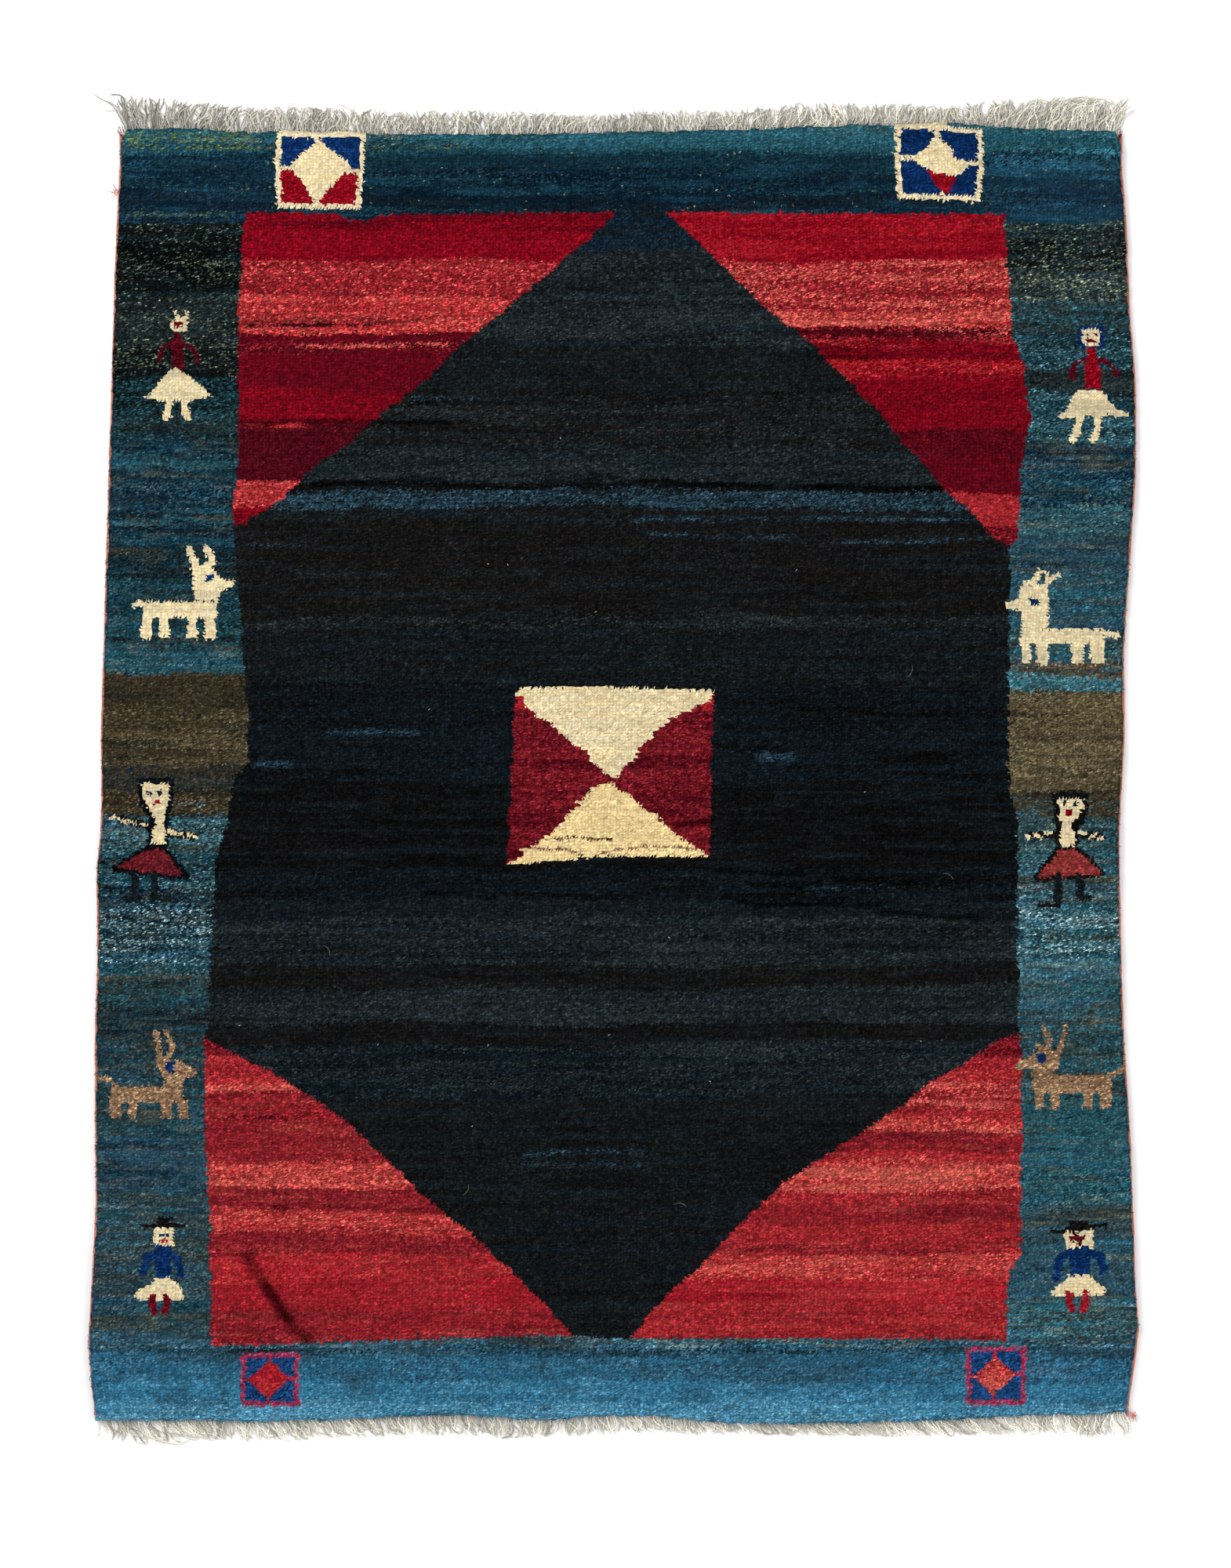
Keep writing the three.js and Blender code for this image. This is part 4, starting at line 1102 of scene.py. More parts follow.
def latticeSpots(columns, rows):  # where the lattice's corners lie, with steps past the cloth, over the edge
    i, j = np.meshgrid(columns, rows)
    inI = np.clip(i, 0, pile["columns"])
    inJ = np.clip(j, 0, pile["rows"])
    x, y = rugPlan(inI / pile["columns"], inJ / pile["rows"])
    z = pileTop(x, y)
    sunk = partingDepth(x / knot, y / knot, partings + cracks) + partingDepth(x / knot, y / knot, [crease])
    z = z - mm * sunk
    fromSide = np.minimum(inI, pile["columns"] - inI)
    edge = np.minimum(fromSide, np.minimum(inJ, pile["rows"] - inJ)) * knot / mm
    z = z - mm * rimLean["rounding"] * np.exp(-edge / rimLean["roundingReach"])
    outI = i - inI
    outJ = j - inJ
    for out, key, other in ((outI, "side", inJ), (outJ, "end", inI)):
        ragged = rimLean[key] + rimLean["uneven"] * drift(other, other * 0, 1.7, 5, 91 + len(key))
        share = np.zeros(out.shape)
        drop = np.zeros(out.shape)
        for step, (lean, below) in enumerate(rim, 1):
            share = np.where(np.abs(out) == step, lean, share)
            drop = np.where(np.abs(out) == step, below, drop)
        if key == "side":
            x = x + mm * np.sign(out) * share * ragged
        else:
            y = y + mm * np.sign(out) * share * ragged
        z = np.minimum(z, pileTop(x, y) - mm * drop)
    return np.stack([x, y, z], -1), (outI != 0) | (outJ != 0)


def buildStrip(k):
    step = pile["columns"] // pile["strips"]
    first = k * step
    last = first + step
    low = first - (len(rim) if k == 0 else 0)
    high = last + (len(rim) if k == pile["strips"] - 1 else 0)
    columns = np.arange(low, high + 1)
    rows = np.arange(-len(rim), pile["rows"] + len(rim) + 1)
    corners, outside = latticeSpots(columns, rows)
    wide = len(columns)
    index = np.arange(corners.shape[0] * wide).reshape(corners.shape[:2])
    a = index[:-1, :-1]
    b = index[:-1, 1:]
    c = index[1:, 1:]
    d = index[1:, :-1]
    cellI, cellJ = np.meshgrid(columns[:-1], rows[:-1])
    knotted = (cellI >= 0) & (cellI < pile["columns"]) & (cellJ >= 0) & (cellJ < pile["rows"])
    tipSpots = corners.reshape(-1, 3)[np.stack([a, b, c, d], -1)].mean(2)
    tips = index.size + np.arange(knotted.sum())
    ring = [side[knotted] for side in (a, b, c, d)]
    triangles = [np.stack([ring[n], ring[(n + 1) % 4], tips], -1) for n in range(4)]
    border = ~knotted
    triangles += [np.stack([a[border], p[border], q[border]], -1) for p, q in ((b, c), (c, d))]
    owner = [np.flatnonzero(knotted.ravel())] * 4 + [np.flatnonzero(border.ravel())] * 2
    faces = np.concatenate(triangles)
    owner = np.concatenate(owner)
    points = np.concatenate([corners.reshape(-1, 3), tipSpots[knotted]])
    mesh = plainMesh("strip", points, faces)
    isTip = np.arange(len(points)) >= index.size
    setNumbers(mesh, "tip", isTip)
    still = np.concatenate([outside.ravel() * 0.55, np.zeros(len(tips))])
    setNumbers(mesh, "still", still)

    # each triangle takes one tuft's wool: at the foot, right, head and left of its knot in turn
    quarter = np.concatenate([np.full(len(tips), n) for n in range(4)] + [np.zeros(border.sum() * 2, int)])
    tuftI = np.clip(2 * cellI.ravel()[owner] + np.isin(quarter, (1, 2)), 0, tuftCount[1] - 1)
    tuftJ = np.clip(2 * cellJ.ravel()[owner] + (quarter > 1), 0, tuftCount[0] - 1)
    turn = chance(900 + k)
    vary = grain[tuftJ, tuftI]
    bright = 0.4 * turn.normal(size=cellI.size)[owner] + 0.55 * turn.normal(size=len(faces))
    # painted highlight on each knot's tip and painted shade in the gaps between knots
    bright = np.exp(vary * bright)[:, None] * np.where(isTip[faces], pile["tipPaintedHighlight"], pile["gapPaintedShade"])
    # random brightness at each corner, and painted shade: the colour darkens along the parted rows and the
    # crease, as deep as they sink
    sunk = partingDepth(points[:, 0] / knot, points[:, 1] / knot, partings)
    uneven = np.exp(0.1 * turn.normal(size=len(points)) - 0.5 * sunk)
    bright = bright * uneven[faces]
    for name, wool, extra in (("wool", main, grain), ("fleck", fleck, fleckShare)):
        colours = wool[tuftJ, tuftI][:, None, :] * bright[..., None]
        more = np.broadcast_to(extra[tuftJ, tuftI][:, None], bright.shape)
        setColours(mesh, name, colours.reshape(-1, 3), "CORNER", more.reshape(-1))

    # the bake's map: the strip is cut into four lengths, laid two by two, with the rim unrolled outwards
    blocks = 4
    cut = np.array([pile["rows"] * n / blocks for n in range(1, blocks)])
    spots = np.stack(np.meshgrid(columns, rows), -1)
    middles = np.stack([cellI + 0.5, cellJ + 0.5], -1)[knotted]
    lattice = np.concatenate([spots.reshape(-1, 2), middles])
    block = np.searchsorted(cut, cellJ.ravel()[owner] + 0.5)
    start = np.concatenate([[0], cut])[block]
    places = lattice[faces]
    wideCell = step + 2 * len(rim) + 2
    highCell = pile["rows"] / blocks + 2 * len(rim) + 2
    u = (places[..., 0] - low + 1 + (block % 2)[:, None] * wideCell) / (2 * wideCell)
    v = (places[..., 1] - start[:, None] + len(rim) + 1 + (block // 2)[:, None] * highCell) / (2 * highCell)
    setBakeMap(mesh, np.stack([u, v], -1))
    return mesh


strand = {  # single strands of wool in a tuft, lying aslant and nearly across the rug
    "slant": 0.38, "stretch": (2.1, 0.78, 3), "scale": 720, "fibreScale": 2400,
    "bump": 0.55, "bumpHeight": 0.7,
}


def strandShading(net, place, grain, fleck, share, wool):  # colour and height of single strands
    sockets = {"Vector": place, "Rotation": (0, 0, strand["slant"]), "Scale": strand["stretch"]}
    lay = net.add("ShaderNodeMapping", {"vector_type": "TEXTURE"}, sockets)
    sockets = {"Vector": lay, "Scale": strand["scale"], "Randomness": 1}
    strands = net.add("ShaderNodeTexVoronoi", {}, sockets, "Distance")
    dye = net.add("ShaderNodeSeparateColor", {}, {"Color": strands.beside("Color")})
    turn = dye.beside("Green")
    hue = dye.beside("Blue")
    sockets = {"Vector": lay, "Scale": strand["fibreScale"], "Detail": 2, "Roughness": 0.7}
    fibres = net.add("ShaderNodeTexNoise", {}, sockets, "Fac")
    settings = {"operation": "ADD", "use_clamp": True}
    chosen = net.add("ShaderNodeMath", settings, {0: (share - dye) * 9, 1: 0.5})
    mixed = net.add("ShaderNodeMix", {"data_type": "RGBA"}, {0: chosen, 6: wool, 7: fleck}, 2)
    power = net.add("ShaderNodeMath", {"operation": "EXPONENT"}, {0: grain * (turn * turn * 5.6 - 2.1)})
    warm = (hue - 0.5) * (grain * 0.9)
    tilt = net.add("ShaderNodeCombineXYZ", {}, {"X": 1 + warm, "Y": 1 + warm * 0.3, "Z": 1 - warm * 0.6})
    # painted shade: each strand is darker towards its edge, in the gaps between strands
    shade = power * (1.12 - strands * (0.2 + grain)) * (0.72 + fibres * 0.56)
    return mixed * tilt * shade, (1 - strands) * 0.7 + fibres * 0.3


def pileMaterial():
    material, net, shader = newMaterial("pile wool", 0.95, 0)
    place = net.add("ShaderNodeTexCoord", output="Object")
    wool = painted(net, "wool")
    fleck = painted(net, "fleck")
    colour, height = strandShading(net, place, wool.beside("Alpha"), fleck, fleck.beside("Alpha"), wool)
    feed(net, colour, shader, "Base Color")
    feedBump(net, height, shader, strand["bump"], strand["bumpHeight"])
    return material


def pileTree(material):
    inputs = {"Relief": "Float", "Relief change": "Float", "Jitter": "Float", "Nap": "Float", "Seed": "Int"}
    net, given = newGeometryTree("cut knots", inputs)
    spot = net.add("GeometryNodeInputPosition")
    settings = {"noise_dimensions": "4D"}
    roll = net.add("ShaderNodeTexWhiteNoise", settings, {"Vector": spot, "W": given["Seed"]}, "Color")
    again = net.add("ShaderNodeTexWhiteNoise", settings, {"Vector": spot, "W": given["Seed"] + 9}, "Value")
    tip = net.attribute("tip")
    calm = 1 - net.attribute("still")
    aside = (roll - (0.5, 0.5, 0.5)) * (given["Jitter"] * 2 * calm)
    lift = (tip - 0.62) * given["Relief"] + (again - 0.5) * given["Relief change"] * (0.35 + tip * 0.9)
    nap = tip * given["Nap"]
    lean = net.add("ShaderNodeCombineXYZ", {}, {"X": nap * 0.25, "Y": nap * -1, "Z": lift * calm})
    flat = net.add("ShaderNodeVectorMath", {"operation": "MULTIPLY"}, {0: aside, 1: (1, 1, 0.25)})
    moved = net.add("GeometryNodeSetPosition", {}, {"Geometry": given["Geometry"], "Offset": flat + lean})
    endTree(net, moved, material)
    return net


pileWool = pileMaterial()
knotTree = pileTree(pileWool)
knotValues = {
    "Relief": pile["relief"] * mm,
    "Relief change": pile["reliefChange"] * mm,
    "Jitter": pile["jitter"] * mm,
    "Nap": pile["nap"] * mm,
    "Seed": pile["seed"],
}
stripNames = ["pile_far_left", "pile_left", "pile_right", "pile_far_right"]
pilePieces = [grown(name, buildStrip(k), knotTree, knotValues) for k, name in enumerate(stripNames)]
print("pile knotted,", sum(len(piece.data.polygons) for piece in pilePieces), "triangles")


# The ground cloth: warps and wefts under the pile, with the backs of the knots on its underside

cloth = {"thickness": 3.9, "inset": 0.4, "columns": 108, "rows": 136}


def clothMaterial():
    material, net, shader = newMaterial("knot backs", 0.9, 0.15)
    place = net.add("ShaderNodeTexCoord", output="Object")
    wool = painted(net, "wool")
    sockets = {"Vector": place, "Distortion": 0.7, "Detail": 1, "Detail Scale": 3}
    rows = net.add("ShaderNodeTexWave", {"bands_direction": "Y"}, {**sockets, "Scale": 42}, "Fac")
    backs = net.add("ShaderNodeTexWave", {"bands_direction": "X"}, {**sockets, "Scale": 84}, "Fac")
    fuzz = net.add("ShaderNodeTexNoise", {}, {"Vector": place, "Scale": 900, "Detail": 3, "Roughness": 0.6})
    sockets = {0: (1 - rows) ** 4 * 0.55, 6: wool, 7: (*wools["rawShade"], 1)}
    weft = net.add("ShaderNodeMix", {"data_type": "RGBA"}, sockets, 2)
    feed(net, weft * (0.55 + fuzz * 0.5 + backs * 0.35), shader, "Base Color")
    height = rows * 0.5 + backs * 0.35 + fuzz * 0.25
    feedBump(net, height, shader, 0.7, 0.8)
    return material


def buildCloth():
    across = np.linspace(0, 1, cloth["columns"] + 1)
    along = np.linspace(0, 1, cloth["rows"] + 1)
    x, y = rugPlan(*np.meshgrid(across, along))
    inset = 2 * cloth["inset"] * mm
    x, y = (place.mean() + (place - place.mean()) * (1 - inset / np.ptp(place)) for place in (x, y))
    under = np.stack([x, y, np.zeros(x.shape)], -1).reshape(-1, 3)
    index = np.arange(x.size).reshape(x.shape)
    ring = (index[1:, :-1], index[1:, 1:], index[:-1, 1:], index[:-1, :-1])
    bottom = np.stack([corner.ravel() for corner in ring], -1)
    loop = np.concatenate([index[0, :-1], index[:-1, -1], index[-1, :0:-1], index[:0:-1, 0]])
    upper = x.size + np.arange(len(loop))
    over = under[loop] + (0, 0, cloth["thickness"] * mm)
    peak = x.size + len(loop)
    wall = np.stack([loop, np.roll(loop, -1), np.roll(upper, -1), upper], -1)
    lid = np.stack([upper, np.roll(upper, -1), np.full(len(upper), peak)], -1)
    points = np.concatenate([under, over, over.mean(0)[None]])
    mesh = plainMesh("ground_cloth", points, [bottom, wall, lid])
    cells = len(bottom)
    row, column = np.divmod(np.arange(cells), cloth["columns"])
    backs = main[row * tuftCount[0] // cloth["rows"], column * tuftCount[1] // cloth["columns"]] * 0.92
    plain = np.broadcast_to(wools["rawShade"] * 0.5, (len(wall) * 4 + len(lid) * 3, 3))
    setColours(mesh, "wool", np.concatenate([np.repeat(backs, 4, axis=0), plain]), "CORNER")
    square = np.array([[0, 1], [1, 1], [1, 0], [0, 0]], float)
    share = (np.stack([column, row], -1)[:, None] + square) / (cloth["columns"], cloth["rows"])
    lower = share * (0.94, 0.98) + (0.005, 0.01)
    turn = np.arange(len(wall)) / len(wall)
    edge = np.stack([turn, turn + 1 / len(wall), turn + 1 / len(wall), turn], -1) * 0.98 + 0.01
    side = np.stack([np.broadcast_to([0.984, 0.984, 0.996, 0.996], edge.shape), edge], -1)
    reach = (points[lid] - points[peak])[..., :2] / np.abs(points[:, :2]).max(0)
    top = reach * (0.01, 0.49) + (0.965, 0.5)
    setBakeMap(mesh, np.concatenate([part.reshape(-1, 2) for part in (lower, side, top)]))
    mesh.materials.append(clothMaterial())
    return newObject("ground_cloth", mesh)


groundCloth = buildCloth()
print("ground cloth woven")


# Spun yarn: a tree that twists plies round the lines of a mesh

def yarnTree(name, material):
    inputs = {
        "Step": "Float", "Plies": "Int", "Ply radius": "Float", "Lay width": "Float", "Lay height": "Float",
        "Twist": "Float", "Sides": "Int",
    }
    net, given = newGeometryTree(name, inputs)
    line = net.add("GeometryNodeMeshToCurve", {}, {"Mesh": given["Geometry"]})
    even = net.add("GeometryNodeResampleCurve", {"mode": "LENGTH"}, {"Curve": line, "Length": given["Step"]})
    level = net.add("GeometryNodeSetCurveNormal", {"mode": "Z_UP"}, {"Curve": even})
    sockets = {"Geometry": level, "Amount": given["Plies"]}
    plies = net.add("GeometryNodeDuplicateElements", {"domain": "SPLINE"}, sockets)
    which = plies.beside("Duplicate Index")
    gone = net.add("GeometryNodeSplineParameter", output="Length")
    share = net.add("GeometryNodeSplineParameter", output="Factor")
    angle = gone * given["Twist"] + which * math.pi
    out = net.add("GeometryNodeInputNormal")
    tangent = net.add("GeometryNodeInputTangent")
    up = net.add("ShaderNodeVectorMath", {"operation": "CROSS_PRODUCT"}, {0: tangent, 1: out})
    thick = net.attribute("thickness")
    aside = out * (net.wave("COSINE", angle) * given["Lay width"] * thick)
    above = up * (net.wave("SINE", angle) * given["Lay height"] * thick)
    laid = net.add("GeometryNodeSetPosition", {}, {"Geometry": plies, "Offset": aside + above})
    number = net.add("GeometryNodeInputIndex")
    own = net.add("GeometryNodeFieldOnDomain", {"domain": "CURVE"}, {"Value": number})
    marked = net.store(net.store(laid, "along", share), "ply", own)
    sockets = {"Resolution": given["Sides"], "Radius": given["Ply radius"]}
    ring = net.store(net.add("GeometryNodeCurvePrimitiveCircle", {}, sockets), "around", share)
    sockets = {"Curve": marked, "Profile Curve": ring, "Scale": thick, "Fill Caps": True}
    endTree(net, net.add("GeometryNodeCurveToMesh", {}, sockets), material)
    return net


def yarnValues(step, plies, radius, sides, wide=0.0, high=0.0, pitch=math.inf):  # all in mm
    return {
        "Step": step * mm, "Plies": plies, "Ply radius": radius * mm, "Lay width": wide * mm,
        "Lay height": high * mm, "Twist": 2 * math.pi / (pitch * mm), "Sides": sides,
    }


def linesMesh(name, lines, thickness, colours):  # lines are arrays of points in metres
    counts = [len(line) for line in lines]
    starts = np.concatenate([[0], np.cumsum(counts)[:-1]])
    edges = np.concatenate([
        np.stack([np.arange(start, start + count - 1), np.arange(start + 1, start + count)], -1)
        for start, count in zip(starts, counts)
    ])
    mesh = plainMesh(name, np.concatenate(lines), edges=edges)
    setNumbers(mesh, "thickness", np.concatenate(thickness))
    setColours(mesh, "wool", np.repeat(np.array(colours), counts, axis=0), "POINT")
    return mesh


def layYarnMap(mesh, lengths=1):  # the bake's map: each length of a ply unrolled into its own cell
    ply = readNumbers(mesh, "ply")
    along = readNumbers(mesh, "along")
    around = readNumbers(mesh, "around")
    corner = np.empty(len(mesh.loops), np.int32)
    mesh.loops.foreach_get("vertex_index", corner)
    first = np.empty(len(mesh.polygons), np.int32)
    count = np.empty(len(mesh.polygons), np.int32)
    mesh.polygons.foreach_get("loop_start", first)
    mesh.polygons.foreach_get("loop_total", count)
    face = np.repeat(np.arange(len(first)), count)
    u = around[corner]
    v = along[corner] * lengths
    top = np.maximum.reduceat(u, first)[face]
    u = np.where((top > 0.6) & (u < 0.3), u + 1, u)
    low = np.minimum.reduceat(v, first)
    high = np.maximum.reduceat(v, first)
    part = np.clip(np.floor((low + high) / 2), 0, lengths - 1)
    v = v - part[face]
    cap = (high - low < 1e-5)[face]
    turn = 2 * math.pi * around[corner]
    side = np.where(v > 0.5, 0.75, 0.25)
    u = np.where(cap, side + 0.14 * np.cos(turn), u * 0.94 + 0.03)
    v = np.where(cap, 0.95 + 0.035 * np.sin(turn), np.clip(v, -0.05, 1.05) * 0.8 + 0.05)
    cell = ply[corner] * lengths + part[face]
    square = math.ceil(math.sqrt(float(cell.max()) + 1))
    u = (u + cell % square) / square
    v = (v + cell // square) / square
    setBakeMap(mesh, np.stack([u, v], -1))


def yarnMaterial(name, pale, root=None):
    material, net, shader = newMaterial(name, 0.88, 0.3)
    place = net.add("ShaderNodeTexCoord", output="Object")
    wool = painted(net, "wool")
    along = painted(net, "along", "Fac")
    sockets = {"Vector": place, "Scale": 1900, "Detail": 3, "Roughness": 0.65}
    fibres = net.add("ShaderNodeTexNoise", {}, sockets)
    tone = net.add("ShaderNodeTexNoise", {}, {"Vector": place, "Scale": 260, "Detail": 1})
    shade = 0.5 + fibres * 0.55 + tone * 0.45
    # painted shade: the yarn is darker towards its root, where the ends meet the rug
    if root:
        shade = shade * (root + along * (1 - root))
    feed(net, wool * (shade * pale), shader, "Base Color")
    feedBump(net, fibres, shader, 0.5, 0.4)
    return material


# The fringes. Each row of a table: x and how far the ends lie past the pile, in mm, and their lean a mm out

headFringe = [
    (-581, 40, -0.55), (-515, 32, 0.1), (-455, 28, 0.35), (-349, 28, 0.05), (-238, 27, -0.2),
    (-164, 28, 0.15), (-16, 21, 0.3), (58, 25, -0.15), (132, 23, 0.1), (206, 27, 0.3), (280, 26, 0),
    (354, 23, 0.25), (391, 19, 0.1), (465, 34, 0.55), (539, 37, 0.6), (598, 36, 0.65),
]
footFringe = [
    (-611, 16, 0.3), (-570, 22, 0.8), (-497, 18, 0.9), (-423, 19, 0.55), (-312, 17, 0.8),
    (-201, 20, 0.35), (-127, 20, 0.4), (-90, 16, 0.1), (-16, 18, -0.1), (21, 16, 0.7), (95, 16, 0.5),
    (132, 11, 1), (243, 13, 0.9), (354, 15, 1.1), (465, 17, 1), (502, 18, 0.4), (576, 22, 0.3),
    (608, 26, 0.35),
]
fringe = {
    "head": {
        "end": 1, "table": headFringe, "edge": headEdge, "ends": 960, "hairs": 120, "curl": 0.62,
        "swing": 0.3, "swathe": 0.3, "lift": 4.0, "tones": (0.68, 1.02, 1.19, 1.0, 1.4, 1.3, 1.38),
        "longer": 1.08, "seed": 31,
    },
    "foot": {
        "end": -1, "table": footFringe, "edge": footEdge, "ends": 720, "hairs": 120, "curl": 0.5,
        "swing": 0.22, "swathe": 0.4, "lift": 2.6, "tones": (1.36, 1.4, 1.4, 1.4, 1.48, 1.55, 1.6),
        "longer": 1.3, "seed": 37,
    },
}
toneSpots = (-580, -430, -190, 17, 248, 423, 530)  # mm, where the yarn has each of the tones
warpYarn = {"plyRadius": 0.7, "twistPitch": 7.5, "step": 2.9, "sides": 3, "points": 14}


def endSpan(job):  # where an end of the rug begins and stops across, in metres
    y = job["edge"][1].mean()
    return float(onEdge(leftEdge, y)), float(onEdge(rightEdge, y))


def fringeLines(job, count, hair):
    turn = chance(job["seed"] + (7 if hair else 0))
    xs, reaches, leans = np.array(job["table"], float).T
    left, right = endSpan(job)
    left = left / mm + 1
    right = right / mm - 1
    share = np.linspace(0, 1, warpYarn["points"])
    lines = []
    thickness = []
    colours = []
    for k in range(count):
        x = left + (k + 0.5 + turn.uniform(-0.4, 0.4)) * (right - left) / count
        reach = float(np.interp(x, xs, reaches)) * job["longer"] * turn.uniform(0.76, 1.07) + 3.4
        group = float(drift(x, 0.0, 17, 3, job["seed"] + 3))
        group = group + 0.5 * float(drift(x, 0.0, 6, 3, job["seed"] + 4))
        lean = float(np.interp(x, xs, leans)) + job["swathe"] * group + job["swing"] * turn.normal()
        curl = job["curl"] * turn.uniform(0.25, 1.25) * (1.3 if hair else 1)
        if hair:
            reach *= turn.uniform(0.4, 1.2)
            lean += 0.5 * turn.normal()
        lean = float(np.clip(lean, -1.2, 2.2))
        cycles = turn.uniform(0.7, 1.7)
        phase = turn.uniform(0, 2 * math.pi)
        hook = turn.normal() * 0.55
        heading = math.atan(lean) * np.clip(share * 3, 0.3, 1)
        heading = heading + curl * np.sin(2 * math.pi * cycles * share + phase)
        heading = np.clip(heading + hook * share ** 3, -2.1, 2.3)
        out = np.maximum(np.cumsum(np.cos(heading)), 0.3)
        scale = reach / out.max()
        px = x + np.cumsum(np.sin(heading)) * scale
        out = out * scale
        rise = job["lift"] * turn.uniform(0, 1) ** 1.5
        up = 2.4 * (1 - share) ** 2 + 0.9 + rise * np.sin(math.pi * share ** 0.8) * turn.uniform(0.5, 1)
        y0 = float(onEdge(job["edge"], x * mm)) / mm
        lines.append(np.stack([px, y0 + job["end"] * (out - 2), up], -1) * mm)
        taper = np.interp(share, [0, 0.85, 1], [1, 0.9, 0.5])
        thickness.append(taper * (0.4 if hair else turn.uniform(0.8, 1.15)))
        tint = turn.uniform(0, 1)
        shade = float(np.interp(x, toneSpots, job["tones"])) * turn.uniform(0.5, 1.3)
        colours.append((wools["naturalWool"] * tint + wools["rawShade"] * (1 - tint)) * shade)
    return lines, thickness, colours


def buildFringe(name, job):
    lines, thickness, colours = fringeLines(job, job["ends"], False)
    more = fringeLines(job, job["hairs"], True)
    mesh = linesMesh(name, lines + more[0], thickness + more[1], colours + more[2])
    radius = warpYarn["plyRadius"]
    lay = (radius * 0.9, radius * 0.9, warpYarn["twistPitch"])
    piece = grown(name, mesh, warpTree, yarnValues(warpYarn["step"], 2, radius, warpYarn["sides"], *lay))
    layYarnMap(piece.data)
    return piece


# the warp ends are painted down to 0.78 as bright at their roots: painted shade
warpWool = yarnMaterial("warp wool", 1.05, 0.78)
warpTree = yarnTree("warp ends", warpWool)
fringeHead = buildFringe("fringe_head_ends", fringe["head"])
fringeFoot = buildFringe("fringe_foot_ends", fringe["foot"])
print("fringes spun,", len(fringeHead.data.polygons), "and", len(fringeFoot.data.polygons), "faces")


# The twined line between the pile and the fringe, at each end

twining = {"out": 2.6, "height": 1.7, "plyRadius": 0.85, "pitch": 5.2, "step": 1.4, "sides": 4}


def buildTwining(name, job, colour):
    left, right = endSpan(job)
    x = np.linspace(left + 2 * mm, right - 2 * mm, 420)
    out = twining["out"] + 0.3 * drift(x / knot, x * 0, 5, 3, job["seed"] + 5)
    y = onEdge(job["edge"], x) + job["end"] * out * mm
    line = np.stack([x, y, np.full(x.shape, twining["height"] * mm)], -1)
    mesh = linesMesh(name, [line], [np.ones(len(line))], [colour])
    radius = twining["plyRadius"]
    lay = (radius * 0.9, radius * 0.6, twining["pitch"])
    piece = grown(name, mesh, twineTree, yarnValues(twining["step"], 2, radius, twining["sides"], *lay))
    layYarnMap(piece.data, 300)
    return piece


twineWool = yarnMaterial("twined wool", 1.0)
twineTree = yarnTree("twined weft", twineWool)
twiningHead = buildTwining("end_twining_head", fringe["head"], wools["rawShade"])
twiningFoot = buildTwining("end_twining_foot", fringe["foot"], wools["camel"] * 0.7)


# The side cords: outer warps with salmon wool wrapped over them

sideCord = {
    "width": 6.0, "height": 3.7, "wrapRadius": 0.85, "pitch": 2.1, "stepsATurn": 7, "sides": 4, "gap": 0.35,
}


def buildSideCord(name, side, edge):
    y = np.linspace(footMean + 0.5 * mm, headMean - 0.5 * mm, 700)
    width = sideCord["width"] / 2 + 0.35 * drift(y / knot, y * 0, 6, 3, 131 + side)
    x = onEdge(edge, y) + side * (sideCord["gap"] + width) * mm
    line = np.stack([x, y, np.full(y.shape, sideCord["height"] / 2 * mm)], -1)
    wrap = sideCord["wrapRadius"]
    # painted shade: the core is the wraps' salmon at half brightness, seen in the gaps between the wraps
    core = linesMesh(name + "_core", [line], [np.ones(len(line))], [wools["cordSalmon"] * 0.5])
    uneven = 1 + 0.12 * drift(y / knot, y * 0, 2.2, 3, 141 + side)
    turns = linesMesh(name + "_wraps", [line], [uneven], [wools["cordSalmon"]])
    lay = (sideCord["width"] / 2 - wrap, sideCord["height"] / 2 - wrap, sideCord["pitch"])
    coreValues = yarnValues(9, 1, sideCord["height"] / 2 - wrap * 0.7, 10)
    wrapValues = yarnValues(sideCord["pitch"] / sideCord["stepsATurn"], 1, wrap, sideCord["sides"], *lay)
    inner = grown(name + "_core", core, cordTree, coreValues)
    outer = grown(name + "_wraps", turns, cordTree, wrapValues)
    layYarnMap(inner.data, 60)
    layYarnMap(outer.data, 720)
    return inner, outer


cordWool = yarnMaterial("side cord wool", 1.0)
cordTree = yarnTree("overcast wool", cordWool)
cordLeftCore, cordLeft = buildSideCord("side_cord_left", -1, leftEdge)
cordRightCore, cordRight = buildSideCord("side_cord_right", 1, rightEdge)
print("side cords wrapped,", len(cordLeft.data.polygons), "faces each")


# Loose wool: tufts that hang out over the edges, lint and hairs on the pile, coloured ends at the corners

looseWool = {"edgeTufts": 1500, "reach": 4.2, "plyRadius": 0.62, "step": 1.6, "seed": 211}
lint = [
    (623, 720), (648, 721), (760, 781), (1015, 728), (853, 1195), (307, 1307), (483, 1331), (623, 1332),
    (777, 1319), (603, 1435), (1173, 1327), (548, 905), (1102, 1010), (715, 560), (905, 1378),
]
hairs = [(1162, 857), (1209, 1115), (867, 1533), (597, 1517), (1010, 640), (420, 1210)]
cornerEnds = [  # wool, x and y in the photo's pixels from the middle, lean, length in mm, how many
    ("ruby", -626, 807, -0.5, 9, 8), ("plum", 644, 801, 0.3, 11, 9),
    ("cordSalmon", 661, -822, -0.1, 10, 16), ("cordSalmon", -629, 733, -2.2, 12, 8),
]


photoPixel = 0.925  # mm on the rug


def fromPhoto(px, py):  # a place in the photo, in metres on the rug
    return (px - 782) * knot / 4, (979 - py) * knot / 4


